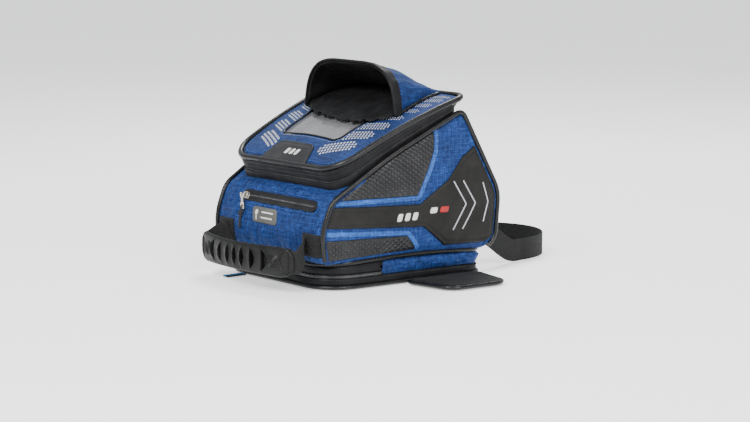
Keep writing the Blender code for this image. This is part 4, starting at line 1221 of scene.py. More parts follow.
def build_lid_band():
    count = 220
    low, high, wide = band_loop(0, count=count), band_loop(1, count=count), band_loop(0, 1.0, count=count)
    for name, shares, front, body, node in (
        ("rim_wrap", (-0.2, -0.12, 0.0, 0.12, 0.2, 0.25), (-0.2, 0.08), "bag_body", "rim_collar"),
        (
            "lid_wrap", (0.33, 0.36, 0.45, 0.53, 0.585, 0.6, 0.615, 0.7, 0.8, 0.9, 0.95), (0.46, 0.95),
            "lid", "lid_band"
        ),
    ):
        rows = []
        for share in shares:
            way = (share - shares[0]) / (shares[-1] - shares[0])
            arch = math.sin(math.pi * way)
            puff = (0.9 + 0.7 * arch if body == "lid" else 1.2 + 0.3 * arch) - (
                0.45 if share == 0.6 else 0.0
            )
            row = []
            for a, b, c in zip(low, high, wide):
                hinge = float(ease((a.x - RIM_FRONT + 12) / 9))
                spot_share = share + hinge * (front[0] + (front[1] - front[0]) * way - share)
                p = a.lerp(b, spot_share)
                out = Vector((c.x - a.x, c.y - a.y, 0))
                crease = 0.6 * wobble(p.x * 0.5, p.y * 0.5, p.z * 2, 16, 4) + 0.3 * wobble(
                    p.x, p.y, p.z, 9, 6
                )
                row.append(p + out * (puff * (1 - 1.1 * hinge) + crease * arch * (1 - hinge)))
            rows.append(row)
        obj = loft(name, rows, LOOKS["band"], thickness=1.8)
        finish_piece(obj, body, [node])
    zip_line = lid_run(band_loop(SPLIT_SHARE - 0.01, -0.6, count=300))
    build_coil_zip("lid", zip_line, "bag_body", "lid", 0.8, 1.5)
    cord = sweep(
        "lid_edge_cord", band_loop(1.0, 0.4, count=300), circle(3.3, 14), UP, LOOKS["piping"], closed=True
    )
    finish_piece(cord, "lid", ["lid_piping"])
    build_lid_hinge()
    ring = band_loop(0.83, 2.1, count=260)
    normals = [(b - a).normalized() for a, b in zip(band_loop(0.83, 1.0, count=260), ring)]
    obj = many("lid_band_stitches", stitch_shapes(ring, normals, closed=True), LOOKS["thread"])
    finish_piece(obj, "lid")


def build_lid_hinge():
    """The strip of cloth between the collar and the lid band along the straight front."""
    rows = []
    for share in np.linspace(0.12, 0.5, 9):
        ring = [p for p in band_loop(share, -0.9, count=400) if p.x > LID_FRONT - 10]
        rows.append(sorted(ring, key=lambda p: p.y))
    count = min(len(row) for row in rows)
    rows = [resampled(row, count=count, closed=False) for row in rows]
    obj = baked(loft("lid_hinge_cloth", rows, LOOKS["band"], around=False, thickness=0.8))
    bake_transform(obj)
    finish_piece(obj, None)


def dot_rows(side):
    """Centres and sizes of the printed dots on one border of the lid.

    They form slanted bars, and grow finer towards the front.
    """
    dots = []
    inner, reach = Vector((-73, 41)), Vector((19, 42))
    along = reach.normalized()
    across = Vector((-along.y, along.x))
    for bar in range(8):
        lanes = 4 if bar < 3 else 3
        pitch = 3.9 - 0.26 * min(bar, 4)
        size = 1.28 - 0.16 * min(bar, 4)
        start = inner + Vector((22.0 * bar - 0.7 * bar * bar, 2.5 * bar))
        steps = int(reach.length / pitch)
        for k in range(steps + 1):
            for lane in range(lanes):
                spot = start + along * k * pitch + across * (lane - (lanes - 1) / 2) * pitch
                way = (spot.x - LID_REAR) / (LID_FRONT - LID_REAR)
                edge = LID_HALF_REAR + (LID_HALF_FRONT - LID_HALF_REAR) * way
                corner = k in (0, steps) and lane in (0, lanes - 1)
                window_edge = WINDOW["half_rear"] + (spot.x - WINDOW["rear"]) * 0.085 + 4.5
                beside = spot.x < WINDOW["rear"] - 3 or spot.y > window_edge
                if corner or not beside or spot.y > edge - 7 or spot.x > 64:
                    continue
                dots.append((spot.x, side * spot.y, size))
    return dots


def build_lid_top():
    count = 200
    outer = lid_quad(-2.6, count)
    inner = resampled(quad(**WINDOW), count=count)
    rows = []
    for k in range(15):
        flat = [a.lerp(b, k / 14) for a, b in zip(outer, inner)]
        rows.append(on_lid([tuple(p) for p in flat], -0.8 if k in (0, 14) else 0.0))
    obj = loft("lid_skin", rows, LOOKS["blue_XY"], thickness=1.8)
    finish_piece(obj, "lid", ["lid_panel"])
    film_outline = quad(**WINDOW, grow=3)

    def creases(x, y):
        fold = wobble(x * 0.35 + y * 0.1, y, 0, 22, 7) + 0.5 * wobble(x, y * 0.3, 0, 13, 1)
        return 1.3 * fold

    film = lid_patch("window_sheet", film_outline, LOOKS["film"], -1.8, 4.0, (0.4,), 0.5, relief=creases)
    finish_piece(film, "lid", ["window_film"])
    back = lid_patch("map_pocket_back", film_outline, LOOKS["backing"], -4.6, 6.0, (0.4,), 0.8)
    finish_piece(back, "lid")
    edging = [Vector((p.x, p.y)) for p in resampled(quad(**WINDOW, grow=0.2), count=240)]
    line = on_lid([tuple(p) for p in edging], 0.2)
    obj = sweep("window_edging", line, circle(0.85, 8, 1.6), UP, LOOKS["piping"], closed=True)
    finish_piece(obj, "lid")
    for name, grow in (("window_stitches", 3.4), ("lid_edge_stitches", None)):
        flat = resampled(quad(**WINDOW, grow=grow) if grow else lid_quad(-6.0), 3.0)
        line = on_lid([tuple(p) for p in flat], 0.15)
        obj = many(name, stitch_shapes(line, UP, closed=True, radius=0.36), LOOKS["blue_thread"])
        finish_piece(obj, "lid")
    turns = [math.tau * k / 8 for k in range(8)]
    for side, name in SIDES:
        shapes = []
        for x, y, size in dot_rows(side):
            corners = [(x + 1.05 * size * math.cos(t), y + 0.95 * size * math.sin(t)) for t in turns]
            shapes.append((on_lid(corners, 0.35), [tuple(range(8))]))
        obj = thicken(many(f"lid_dots_{name}", shapes, LOOKS["grey_ink"], False), 0.5)
        finish_piece(obj, "lid")
    badge = quad(-97, -70, 43, 30, 3, 10)
    obj = lid_patch("badge_plate", badge, LOOKS["badge"], 2.6, 2.0, (0.3, 0.8, 1.5), 1.8, groove=3.6)
    finish_piece(obj, "lid", ["lid_badge"])
    shapes = []
    for k in range(3):
        y = 7.5 - 8.5 * k
        corners = [(-79.5, y - 1.8, 0.8), (-79.5, y - 7.4, 0.8), (-86, y - 5.6, 0.8), (-86, y, 0.8)]
        flat, faces = filled(rounded(corners, 3), 2.0)
        shapes.append((on_lid([tuple(p) for p in flat], 2.75), faces))
    obj = thicken(many("badge_print", shapes, LOOKS["white_ink"]), 0.3)
    finish_piece(obj, "lid")


def build_lid_inside():
    """The lid's lining, quilted to its foam, and the bag's lining."""

    def quilting(x, y):
        return -7.2 + 0.9 * abs(math.sin(math.pi * (x + y) / 30)) * abs(math.sin(math.pi * (x - y) / 30))

    under = lid_patch("lid_underlay", lid_quad(-3.4), LOOKS["lining"], -5.9, 5.0, (0.4,), 0.8)
    finish_piece(under, "lid")
    obj = lid_patch("lid_lining", lid_quad(-9), LOOKS["lining"], 0.0, 3.4, (1.0,), 2.6, relief=quilting)
    finish_piece(obj, "lid", ["lid_foam"])
    count, floor_z = 160, 35.3
    low = resampled(quad(**BASE, grow=-11), count=count)
    high = resampled(quad(-72, 60, 84, 93, 14, 10), count=count)
    collar = band_loop(0.2, -2.4, count=count)
    tucked = offset([Vector((p.x, p.y)) for p in collar], 7)
    rows = [collar, [Vector((q.x, q.y, p.z - 0.6)) for p, q in zip(collar, tucked)]]
    for k in range(17):
        share = k / 16
        row = []
        for a, b in zip(high, low):
            top = Vector((a.x, a.y, rim_z(a.x) - 12))
            p = top.lerp(Vector((b.x, b.y, floor_z)), share)
            sag = math.sin(math.pi * share)
            out = Vector((p.x, p.y, 0)).normalized()
            fold = 1.8 * wobble(p.x, p.y, p.z * 0.35, 22, 3) + 0.8 * wobble(p.x, p.y, p.z * 0.4, 9, 6)
            row.append(p + out * fold * sag)
        rows.append(row)
    for share in (0.8, 0.5, 0.2):
        ring = [(p.x * share, p.y * share) for p in low]
        rows.append([Vector((x, y, floor_z + 0.5 * wobble(x, y, 0, 20))) for x, y in ring])
    obj = loft("compartment_lining", rows, LOOKS["lining"], thickness=0.8, cap=True)
    finish_piece(obj, "bag_body", ["liner"])


# ---------------------------------------------------------------- hood

HOOD_HALF_FRONT, HOOD_HALF_MOUTH, HOOD_HALF_FOOT = 74, 73, 80
HOOD_CROWN = 11


def hood_point(along, turn, drop=0.0):
    """A point of the arched hood.

    Along is 0 at the hinge and 1 at the mouth; turn is 0 at the right foot and 1 at the left.
    """
    x = HOOD_HINGE_X + (HOOD_MOUTH_X - HOOD_HINGE_X) * along
    angle = math.pi * turn
    c, s = -math.cos(angle), math.sin(angle)
    half_foot = HOOD_HALF_FRONT + (HOOD_HALF_FOOT - HOOD_HALF_FRONT) * along
    half_top = HOOD_HALF_FRONT + (HOOD_HALF_MOUTH - HOOD_HALF_FRONT) * along
    across = math.copysign(abs(c) ** 0.36, c)
    up = abs(s) ** 0.44
    y = across * (half_foot + (half_top - half_foot) * up) * (1 - drop / 60)
    foot = lid_top(x, y) + 1.2
    top = lid_top(HOOD_HINGE_X, y) + 2.4
    mouth = HOOD_MOUTH_Z + HOOD_CROWN * (1 - across**4)
    head = top + (mouth - top) * along + 5 * math.sin(math.pi * along)
    z = foot + (head - foot) * up - drop * up
    fold = 2.6 * wobble(x * 0.6, y, z, 20, 8) + 1.7 * wobble(x * 0.5, y * 1.5, z, 8, 5)
    calm = min(1, 6 * (1 - along) + 0.15) * min(1, 5 * along)
    lift = (fold * calm) * (0.35 + 0.65 * up)
    return Vector((x, y + 0.6 * lift * across, z + lift * up * 0.8))


def hood_grid(drop):
    return [[hood_point(0.02 + 0.98 * k / 20, i / 56, drop) for i in range(57)] for k in range(21)]


def bend_hood(obj, nodes=()):
    """Bakes the hood cloth's modifiers and place into its mesh, and hides the CAD nodes that it stands for.
    """
    obj = baked(obj)
    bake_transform(obj)
    return finish_piece(obj, None, nodes)


def build_hood():
    outer = loft("hood_shell", hood_grid(0.0), LOOKS["blue_XY"], around=False)
    thicken(outer, 0.8, True)
    bend_hood(outer, ["hood_top", "hood_side_left", "hood_side_right"])
    lining = loft("hood_lining", hood_grid(1.3), LOOKS["lining"], around=False)
    bend_hood(thicken(lining, 0.7))
    mouth = [hood_point(1.0, i / 60, -0.7) for i in range(61)]
    ways = [(hood_point(0.85, i / 60, -0.7) - p).normalized() for i, p in enumerate(mouth)]
    tape = [
        (math.copysign(5.6 * abs(a) ** 0.5, a), math.copysign(1.4 * abs(b) ** 0.5, b))
        for a, b in circle(1, 16)
    ]
    mouth = [p + way * 4.0 for p, way in zip(mouth, ways)]
    edge = sweep("hood_mouth_binding", mouth, tape, ways, LOOKS["band"])
    bend_hood(edge, ["hood_mouth_batten"])
    for side, name in SIDES:
        turn = 0 if side < 0 else 1
        foot = [hood_point(1.0 - 0.97 * k / 24, turn) + Vector((0, side * 0.6, 0.3)) for k in range(25)]
        obj = sweep(f"hood_foot_binding_{name}", foot, circle(1.9, 10), UP, LOOKS["piping"])
        finish_piece(obj, "lid")
    front = [hood_point(0.03, i / 40) + Vector((1.0, 0, 0.4)) for i in range(41)]
    obj = sweep("hood_hinge_binding", front, circle(1.5, 8), UP, LOOKS["blue_XY"])
    finish_piece(obj, "lid")
    build_hood_skirt()


def build_hood_skirt():
    """The loose black cloth under the hood: it lies on the window, and its free rear edge waves."""
    rows = []
    steps, across = 26, 60
    for k in range(steps + 1):
        share = k / steps
        row = []
        for i in range(across + 1):
            lane = -1 + 2 * i / across
            ragged = 4.2 * wobble(lane * 60, 0, 0, 7, 3) + 2.2 * wobble(lane * 60, 0, 0, 3, 6)
            rear = HOOD_MOUTH_X - 27 * (1 - abs(lane) ** 3.5) + ragged + 7 * lane
            x = 66 + (rear - 66) * share
            half = 72 + (78 - 72) * min(share * 1.2, 1)
            y = lane * half
            fold = abs(wobble(x * 0.25, y, 0, 11, 2)) + 0.6 * abs(wobble(x * 0.3, y, 0, 5, 4))
            lift = 1.6 + 6.0 * share * fold
            row.append(Vector((x, y, lid_top(x, y) + max(lift, 1.0))))
        rows.append(row)
    obj = loft("hood_skirt", rows, LOOKS["lining"], around=False)
    thicken(obj, 0.6, True)
    finish_piece(obj, "lid")


# ---------------------------------------------------------------- handle


def grip_outline():
    """The grip's face, seen from behind as (y, z): long sides slightly hollow, ends rounded."""
    half, tall = GRIP_HALF, GRIP_TALL / 2
    lower = [Vector((y, -tall + 1.6 * math.cos(math.pi * y / (2 * half)))) for y in range(-68, 69, 4)]
    right = [Vector((half, -tall + 9)), Vector((half + 1, 0)), Vector((half, tall - 9))]
    left = [Vector((-p.x, -p.y)) for p in right]
    corner = [Vector((half - 6, -tall + 2.5)), *right, Vector((half - 6, tall - 2.5))]
    upper = [Vector((-p.x, -p.y)) for p in lower]
    return lower + corner + upper + [Vector((6 - half, tall - 2.5)), *left, Vector((6 - half, -tall + 2.5))]


def lens(y, wide, tall, bow=0.0):
    """A pointed slot: two arcs that meet at its ends; bow bends it into a crescent."""
    steps = 12
    marks = [-1 + 2 * k / steps for k in range(steps + 1)]
    outer = [Vector((y + wide / 2 * (1 - m * m) + bow * (1 - m * m), m * tall / 2)) for m in marks]
    inner = [Vector((y - wide / 2 * (1 - m * m) + bow * (1 - m * m), m * tall / 2)) for m in marks]
    return outer + list(reversed(inner[1:-1]))


def grip_slots():
    slots = [lens(0, 7, 21), lens(-13, 7.4, 21.5), lens(13, 7.4, 21.5)]
    for side in (-1, 1):
        slots.append(lens(side * 26.5, 8.6, 22.5, side * 3.5))
        slots.append(lens(side * 42.5, 9.6, 23.5, side * 5.5))
    return slots


def grip_place(p, height):
    """A point of the grip's face at (y, z), height out from the face, on the bowed grip."""
    bow = GRIP_BOW * (p[0] / GRIP_HALF) ** 2
    slope = 2 * GRIP_BOW * p[0] / GRIP_HALF**2
    out = Vector((-1, slope, 0)).normalized()
    return Vector((GRIP_X + bow, p[0], GRIP_Z + p[1])) + out * height


def build_grip():
    outline = grip_outline()
    slots = grip_slots()
    extra = []
    for slot in slots:
        edge = resampled(slot, 1.3)
        extra += edge + offset(edge, 0.6 if area(edge) > 0 else -0.6)
    rings_at = [(side * 58.5, 0) for side in (-1, 1)]
    for centre in rings_at:
        for radius in (2.2, 3.4, 4.6, 5.8, 7.0, 8.2):
            for k in range(int(radius * 5)):
                turn = math.tau * k / int(radius * 5)
                extra.append(Vector((centre[0] + radius * math.cos(turn), radius * math.sin(turn))))
    flat, faces = filled(outline, 2.0, (0.5, 1.3, 2.4, 3.6), extra)
    spots = np.array([tuple(p) for p in flat])
    distance, _ = edge_distance(resampled(outline, 1.5), spots)
    height = rounded_rise(distance, 2.2, 3.6) - 2.2 + 0.8 * ease(distance / 12)
    for slot in slots:
        gap, inside = edge_distance(resampled(slot, 1.0), spots)
        height = height - np.where(inside, 5.2 * ease(gap / 0.7), 0)
        height = height + np.where(~inside, 0.8 * np.clip(1 - gap / 2.4, 0, 1), 0)
    for centre in rings_at:
        reach = np.hypot(spots[:, 0] - centre[0], spots[:, 1] - centre[1])
        height = height + np.where(reach < 8.8, 0.5 * np.cos(reach / 2.4 * math.tau), 0)
    for side in (-1, 1):
        gap, inside = edge_distance(resampled(web_window(side), 1.5), spots)
        height = height - np.where(inside, 2.6 * ease(gap / 1.0), 0)
    placed = [grip_place(p, h) for p, h in zip(spots, height)]
    obj = mesh_object("grip_moulding", placed, [tuple(reversed(f)) for f in faces], LOOKS["grip"])
    if sum(p.normal.x for p in obj.data.polygons) > 0:
        obj.data.flip_normals()
    obj.data.set_sharp_from_angle(angle=math.radians(38))
    finish_piece(thicken(obj, GRIP_THICK - 1), "handle", ["handle_grip"])


def area(points):
    return sum(a.x * b.y - a.y * b.x for a, b in zip(points, points[1:] + points[:1])) / 2


def web_window(side):
    """The D-shaped opening near the grip's end where the webbing shows."""
    flat_side = GRIP_HALF - 3.5
    arc = [
        Vector((side * (flat_side - 14 * math.cos(t)), 12.5 * math.sin(t)))
        for t in np.linspace(-1.5, 1.5, 14)
    ]
    return arc if side > 0 else list(reversed(arc))


def build_handle():
    build_grip()
    section = ribbed(25, 1.8, 9)
    for side, name in SIDES:
        lay = [(GRIP_HALF - 19, -3.2), (GRIP_HALF - 15, -1.2), (GRIP_HALF - 8, -1.0), (GRIP_HALF - 2, -3.6)]
        face = [grip_place((side * y, 0), h - 0.6) for y, h in lay]
        back = [
            Vector((-135, side * 83, 35)),
            Vector((-128.5, side * 80, 38)),
            Vector((-122, side * 76, 43)),
            Vector((-117.4, side * 70, 47)),
            Vector((-115.6, side * 66, 48.8)),
        ]
        path = smooth_path(face[1:] + back, 2.2)
        strap = sweep(f"handle_strap_{name}", path, section, UP, LOOKS["webbing"])
        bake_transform(strap)
        finish_piece(strap, None, [f"handle_web_{name}"])
        build_anchor(side, name)


def smooth_path(points, spacing):
    """Evenly spaced points on a smooth curve through the given ones."""
    ends = [points[0] * 2 - points[1]] + list(points) + [points[-1] * 2 - points[-2]]
    fine = []
    for a, b, c, d in zip(ends, ends[1:], ends[2:], ends[3:]):
        for k in range(12):
            t = k / 12
            square = (a * 2 - b * 5 + c * 4 - d) * t * t
            cube = (b * 3 - a - c * 3 + d) * t**3
            fine.append((b * 2 + (c - a) * t + square + cube) / 2)
    fine.append(points[-1].copy())
    return resampled(fine, spacing, closed=False)


def build_anchor(side, name):
    """The handle webbing's sewn end on the rear wall, with a boxed cross of stitches."""
    outline = [(side * 63, 37), (side * 93.5, 37), (side * 93.5, 62), (side * 63, 62)]
    if side < 0:
        outline.reverse()

    def ribs(p):
        return 0.5 * abs(math.sin(math.pi * p[1] / 2.8))

    obj = rear_patch(f"handle_end_{name}", outline, LOOKS["webbing"], 1.6, 1.0, (0.4, 0.9), ribs, 1.2)
    finish_piece(obj, "bag_body", [f"handle_anchor_{name}"])
    shapes = []
    low, high = (side * 71, 39.5), (side * 89, 59.5)
    lines = [
        [low, (high[0], low[1])],
        [(high[0], low[1]), high],
        [high, (low[0], high[1])],
        [(low[0], high[1]), low],
        [low, high],
        [(low[0], high[1]), (high[0], low[1])],
    ]
    for line in lines:
        flat = resampled(on_rear([Vector(p) for p in line]), 2.5, closed=False)
        shapes += stitch_shapes(REAR_LAY([tuple(p) for p in flat], 2.0), Vector((-1, 0, 0)), 2.8, 1.9, 0.34)
    finish_piece(many(f"handle_end_stitches_{name}", shapes, LOOKS["thread"]), "bag_body")


# ---------------------------------------------------------------- key pocket


def build_pocket():
    ends = 5.4
    outline = rounded([(-76, 83.2, ends), (57, 83.2, ends), (57, 94.6, ends), (-76, 94.6, ends)], 6)
    middle = rear_mark(89)

    def lips(p):
        gap = abs(p.y - middle)
        return 0.9 * math.exp(-((gap - 3.2) / 1.6) ** 2) - 0.5 * math.exp(-((gap) / 0.7) ** 2)

    obj = rear_patch(
        "pocket_zip_garage", [tuple(p) for p in outline], LOOKS["zip"], 1.5, 1.5, (0.4, 1.0), lips
    )
    finish_piece(obj, "bag_body", ["pocket_zip_tape"])
    flat = resampled(on_rear([Vector((-72, 89)), Vector((52, 89))]), 1.7, closed=False)
    shapes = []
    for sign in (-1, 1):
        for p in flat:
            ends_at = [(p.x + 0.42 * sign, p.y + sign * h) for h in (-0.4, 0.2, 1.1)]
            shapes.append(sweep_parts(REAR_LAY(ends_at, 1.5), circle(0.4, 6), Vector((-1, 0, 0))))
    finish_piece(many("pocket_coil", shapes, LOOKS["coil"]), "bag_body")
    edge = offset([Vector(p) for p in resampled(outline, 3.0)], -1.8)
    line = REAR_LAY([tuple(p) for p in on_rear(edge)], 0.5)
    obj = many(
        "pocket_stitches", stitch_shapes(line, Vector((-1, 0, 0)), 3.0, 2.0, 0.34, True),
        LOOKS["blue_thread"]
    )
    finish_piece(obj, "bag_body")
    build_label()
    build_pocket_slider()


def build_label():
    """A rubber label with a plain dot and bars, and no lettering."""
    lean = 3
    corners = [(-14 - lean, 63, 3), (27, 63, 3), (30 + lean, 79.5, 3), (-11, 79.5, 3)]
    outline = [tuple(p) for p in rounded(corners, 5)]
    obj = rear_patch("label_plate", outline, LOOKS["label"], 1.3, 2.0, (0.3, 0.9, 1.6), thick=0.7)
    finish_piece(obj, "bag_body", ["pocket_label"])
    shapes = []
    dot = [(22 + 2.6 * math.cos(t), 73.5 + 2.9 * math.sin(t)) for t in np.arange(0, 6.2, 0.5)]
    stem = [(19.5, 66), (21.3, 66), (22.6, 71), (20.8, 71)]
    bars = [[(-8, z), (13, z), (13.6, z + 1.5), (-7.4, z + 1.5)] for z in (68, 73.5)]
    for shape in [dot, stem, *bars]:
        flat, faces = filled(on_rear(shape), 2.0)
        placed = REAR_LAY([tuple(p) for p in flat], 1.5)
        shapes.append((placed, [tuple(reversed(f)) for f in faces]))
    obj = thicken(many("label_print", shapes, LOOKS["white_ink"], False), 0.25)
    finish_piece(obj, "bag_body")


def wall_directions(y, z):
    """Directions at a place on the rear wall: out of the cloth, to the left, and up the wall."""
    here = REAR_LAY([(y, rear_mark(z))])[0]
    above = REAR_LAY([(y, rear_mark(z + 4))])[0]
    up = (above - here).normalized()
    side = Vector((0, 1, 0))
    out = side.cross(up).normalized()
    if out.x > 0:
        out.negate()
    return out, side, up


def plate_shape(outline, thickness, place, out, side, up, hole=None):
    """A small flat metal plate with rounded edges, in a frame on the wall."""
    flat, faces = filled([Vector(p) for p in outline], 0.8, (0.25, 0.5))
    spots = [tuple(p) for p in flat]
    distance, _ = edge_distance(resampled([Vector(p) for p in outline], 0.5), spots)
    rise = rounded_rise(distance, thickness / 2, 0.5)
    if hole:
        gap = np.hypot(np.array(spots)[:, 0] - hole[0], np.array(spots)[:, 1] - hole[1])
        rise = rise * np.clip((gap - hole[2]) / 0.4, 0.15, 1)
    points = []
    for sign in (1, -1):
        points += [place + side * u + up * v + out * (sign * h) for (u, v), h in zip(spots, rise)]
    count = len(spots)
    return points, faces + [tuple(count + i for i in reversed(f)) for f in faces]


def build_pocket_slider():
    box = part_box("pocket_slider")
    centre = (box[0] + box[1]) / 2 / MM
    out, side, up = wall_directions(centre.y, centre.z)
    body = [(-4.6, -3.4), (4.6, -3.4), (5.0, 0), (3.2, 4.0), (-3.2, 4.0), (-5.0, 0)]
    shapes = [plate_shape(body, 1.6, centre + out * 1.2, out, side, up)]
    shapes.append(plate_shape(body, 1.4, centre - out * 1.2, out, side, up))
    arch = ((3.4, 1.0), (2.4, 3.0), (-1.6, 3.0), (-2.6, 1.4))
    bridge = [centre + up * rise + out * reach for rise, reach in arch]
    shapes.append(sweep_parts(smooth_path(bridge, 0.8), circle(0.75, 8), side))
    post = [centre + out * 1.6, centre - out * 1.6]
    shapes.append(sweep_parts(post, circle(1.4, 10), side))
    obj = many("pocket_zip_slider", shapes, LOOKS["metal"])
    finish_piece(obj, "pocket_slider", ["pocket_slider"])
    build_pocket_pull()


def build_pocket_pull():
    """The metal pull and its knotted cord."""
    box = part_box("pocket_pull")
    middle = (box[0] + box[1]) / 2
    top = Vector((middle.x, middle.y, box[1].z)) / MM
    backwards, leftwards = Vector((-1, 0, 0)), Vector((0, 1, 0))
    arms = [
        (-3.4, -3.4), (-3.4, 1.2), (-1.4, 1.2), (-1.4, -1.8), (1.4, -1.8), (1.4, 1.2), (3.4, 1.2),
        (3.4, -3.4)
    ]
    half_neck = [(1.9, -4.2), (1.5, -9.0), (3.1, -10.4), (3.3, -17.2)]
    neck = half_neck + [(-x, z) for x, z in reversed(half_neck)]
    outline = list(reversed(arms + neck))
    shape = plate_shape(outline, 1.6, top, backwards, leftwards, UP, (0, -14.2, 1.5))
    obj = many("pocket_zip_pull", [shape], LOOKS["metal"])
    finish_piece(obj, "pocket_pull", ["pocket_pull"])
    low = top + Vector((0, 0, -14.2))
    cords = []
    loop = [low + Vector((-1.4, 0, 0.4)), low + Vector((-1.9, 0.6, -2.5)), low + Vector((-2.2, 0.2, -6))]
    other = [low + Vector((1.4, 0, 0.2)), low + Vector((0.4, -0.6, -2.5)), low + Vector((-1.4, 0, -6))]
    over = [loop[0] + Vector((0.1, 0, 0)), low + Vector((0, 0, 1.0)), other[0]]
    for path in (loop, other, over):
        cords.append(sweep_parts(smooth_path(path, 0.8), circle(0.8, 8), leftwards))
    knot_at = low + Vector((-2.4, 0, -7.5))
    knot = []
    for k in range(40):
        turn = math.tau * k / 40
        x, y = 1.3 * math.cos(3 * turn), 1.9 * math.sin(2 * turn)
        knot.append(knot_at + Vector((x, y, 2.0 * math.sin(3 * turn + 0.6))))
    cords.append(sweep_parts(knot, circle(0.85, 8), Vector((0.3, 0.2, 1)), closed=True))
    tails = [
        [(0, 0, 0), (-0.8, 0.6, -6), (-1.6, 0.7, -12.5), (-1.5, 0.2, -17)],
        [(0, 0, 0), (-1.0, -0.8, -6), (-1.4, -1.0, -12), (-1.6, -1.5, -15.5)],
    ]
    for tail in tails:
        path = smooth_path([knot_at + Vector(p) for p in tail], 1.0)
        frayed = [1.0] * (len(path) - 2) + [1.25, 0.6]
        cords.append(sweep_parts(path, circle(0.85, 8), leftwards, scale=frayed))
    obj = many("pocket_pull_loop", cords, LOOKS["cord"])
    finish_piece(obj, "pocket_pull", ["pocket_pull_cord"])


# ---------------------------------------------------------------- side zip sliders


def build_side_sliders():
    for name, tall in (("lid_zip", 17.0), ("base_zip", 9.6)):
        low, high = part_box(f"{name}_slider")
        centre = (low + high) / 2 / MM
        along = Vector((1, TAPER, 0.46 if name == "lid_zip" else 0)).normalized()
        out = Vector((-TAPER, 1, 0)).normalized()
        up = along.cross(out).normalized()
        if up.z < 0:
            up.negate()
        body = [(-5, -1.6), (-3, -2.9), (3, -2.4), (5, -1.2), (5, 1.2), (3, 2.4), (-3, 2.9), (-5, 1.6)]
        shapes = [plate_shape(body, 1.2, centre + out * s, out, along, up) for s in (-0.5, 1.1)]
        arch = ((-3, 1.4), (-1.5, 2.4), (1.5, 2.4), (3, 1.4))
        bridge = [centre + along * way + out * reach for way, reach in arch]
        shapes.append(sweep_parts(smooth_path(bridge, 0.8), circle(0.6, 8), up))
        runner = many(f"{name}_runner", shapes, LOOKS["metal"])
        finish_piece(runner, f"{name}_slider", [f"{name}_slider"])
        low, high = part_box(f"{name}_pull")
        middle = (low + high) / 2 / MM
        top = Vector((middle.x, middle.y, high.z / MM))
        half = 2.5
        strip = [(-half, -tall), (half, -tall), (half, -1), (1.2, 0.4), (-1.2, 0.4), (-half, -1)]
        shape = plate_shape(strip, 1.4, top, out, Vector((1, TAPER, 0)).normalized(), UP)
        tab = many(f"{name}_tab", [shape], LOOKS["cord"])
        finish_piece(tab, f"{name}_pull", [f"{name}_pull"])


# ---------------------------------------------------------------- wings, tab, strap


WING_Z = 3.4  # the height of the flaps' bound edge


def wing_frame(side):
    """A flap's own place: its hinge runs along X on the base's edge."""
    middle_x = 42
    edge_y = 92 + TAPER * (middle_x + 103)
    turn = Matrix.Rotation(side * math.atan(TAPER), 4, "Z")
    return Matrix.Translation((middle_x, side * edge_y, 0)) @ turn


def wing_pad(outline, side, place):
    """Points and faces of a flap: puffed above, with a sewn groove near its edge, and flatter below."""
    flat, faces = filled(outline, 3.0, (0.5, 1.4, 2.8, 4.6))
    spots = np.array([tuple(p) for p in flat])
    distance, _ = edge_distance(resampled(outline, 2.0), spots)
    points, count = [], len(spots)
    for sign in (1, -1):
        for (x, y), d in zip(spots, distance):
            seam = -0.8 * math.exp(-((d - 6.5) ** 2) / 1.2)
            puff = 1.4 + 1.9 * ease(d / 5) + seam + 0.5 * wobble(x, y, 0, 22, side)
            above, below = min(puff, 3.6), min(3.2, 1.4 + 1.9 * ease(d / 3))
            points.append(place @ Vector((x, y, WING_Z + (above if sign > 0 else -below))))
    both = faces + [tuple(count + i for i in reversed(f)) for f in faces]
    rim = len(resampled(outline, 3.0))
    both += [(i, count + i, count + (i + 1) % rim, (i + 1) % rim) for i in range(rim)]
    return points, both


def build_wings():
    for side, name in SIDES:
        corners = [(-48, 12.5, 3), (48, 12.5, 3), (40, 72.5, 16), (-34, 72.5, 20)]
        outline = rounded(corners)
        if side < 0:
            outline = [Vector((p.x, -p.y)) for p in reversed(outline)]
        place = wing_frame(side)
        obj = mesh_object(f"wing_pad_{name}", *wing_pad(outline, side, place), LOOKS["wing"])
        bm = bmesh.new()
        bm.from_mesh(obj.data)
        bmesh.ops.recalc_face_normals(bm, faces=bm.faces)
        bm.to_mesh(obj.data)
        bm.free()
        finish_piece(obj, f"wing_{name}", [f"wing_{name}_flap"])
        line = [place @ Vector((p.x, p.y, WING_Z)) for p in resampled(outline, 2.5)]
        obj = sweep(f"wing_binding_{name}", line, circle(2.3, 10), UP, LOOKS["piping"], closed=True)
        finish_piece(obj, f"wing_{name}")
        inner = [place @ Vector((p.x, p.y, WING_Z + 2.9)) for p in offset(resampled(outline, 3.0), 6.5)]
        obj = many(f"wing_stitches_{name}", stitch_shapes(inner, UP, closed=True), LOOKS["thread"])
        finish_piece(obj, f"wing_{name}")
        rows = []
        for k in range(5):
            out = 0.6 + 12.4 * k / 4
            rise = 0.9 + 0.7 * math.sin(math.pi * k / 4)
            rows.append([place @ Vector((x, side * out, rise)) for x in np.linspace(-42, 42, 30)])
        if side > 0:
            rows.reverse()
        obj = baked(thicken(loft(f"wing_hinge_{name}", rows, LOOKS["wing"], around=False), 0.8))
        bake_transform(obj)
        finish_piece(obj, None, [f"wing_{name}_hinge_cloth"])


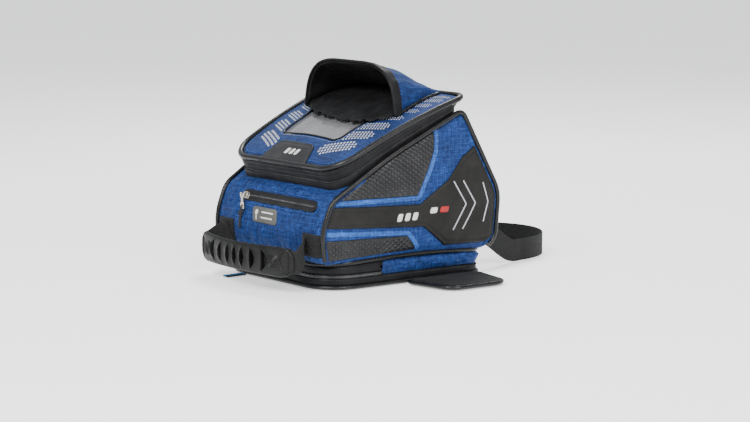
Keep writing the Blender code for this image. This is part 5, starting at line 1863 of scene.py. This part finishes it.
def build_tab():
    """The folded woven tab at the rear left: a black edge, a blue centre and a stitch line."""
    turn = Matrix.Translation((-120.4, 52, 0)) @ Matrix.Rotation(math.radians(-8), 4, "Z")
    for name, half, rise, mat in (("edge", 5.0, 0.0, "webbing"), ("centre", 2.6, 0.35, "tab")):
        section = [(0.75, -half), (0.75, half), (-0.75, half), (-0.75, -half)]
        path = [
            turn @ Vector((x, 0, 1.15 + rise + 0.25 * math.sin(x / 5)))
            for x in np.linspace(-11.8, 11.8, 16)
        ]
        obj = sweep(f"rear_tab_{name}", path, section, UP, LOOKS[mat])
        finish_piece(obj, "bag_body", ["rear_tab"] if name == "edge" else [])
    line = [turn @ Vector((-9.5, y, 1.95)) for y in (-4, 4)]
    obj = many("rear_tab_stitches", stitch_shapes(line, UP, 2.2, 1.5, 0.3), LOOKS["thread"])
    finish_piece(obj, "bag_body")


def strap_arm(side):
    start, landing = Vector((121, side * 82, 42)), Vector((186, side * 72, 12.8))
    points = []
    for k in range(15):
        share = k / 14
        spot = start.lerp(landing, share)
        spot.z = start.z + (landing.z - start.z) * share * share * (3 - 2 * share)
        points.append(spot)
    return points


def build_strap():
    section = ribbed(25, 1.7, 8)
    loop = []
    for k in range(41):
        angle = math.radians(-90 + 158 * k / 40)
        loop.append(Vector((196 + 74 * math.cos(angle), 70 * math.sin(angle), 12.8)))
    start = Vector((114, -84, 44))
    path = resampled([start] + strap_arm(-1) + loop, 3.0, closed=False)
    obj = sweep("headstock_strap", path, section, UP, LOOKS["webbing"])
    finish_piece(obj, "bag_body", ["strap_long"])
    path = resampled([Vector((114, 84, 44))] + strap_arm(1), 3.0, closed=False)
    obj = sweep("headstock_strap_short", path, section, UP, LOOKS["webbing"])
    finish_piece(obj, "bag_body", ["strap_short"])


def build_rigid_looks():
    """Better materials on the CAD pieces whose shape is right."""
    looks = {
        "base_pad": "pad",
        "base_magnet_left": "magnet",
        "base_magnet_right": "magnet",
        "wing_left_magnet": "magnet",
        "wing_right_magnet": "magnet",
        "base_board": "board",
        "floor_board": "board",
        "strap_buckle_female": "plastic",
        "strap_buckle_male": "plastic",
    }
    for node, look in looks.items():
        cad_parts[node].data.materials[0] = LOOKS[look]


build_sides()
build_rear_wall()
build_front_wall()
build_base()
build_lid_band()
build_lid_top()
build_lid_inside()
build_hood()
build_handle()
build_pocket()
build_side_sliders()
build_wings()
build_tab()
build_strap()
build_rigid_looks()
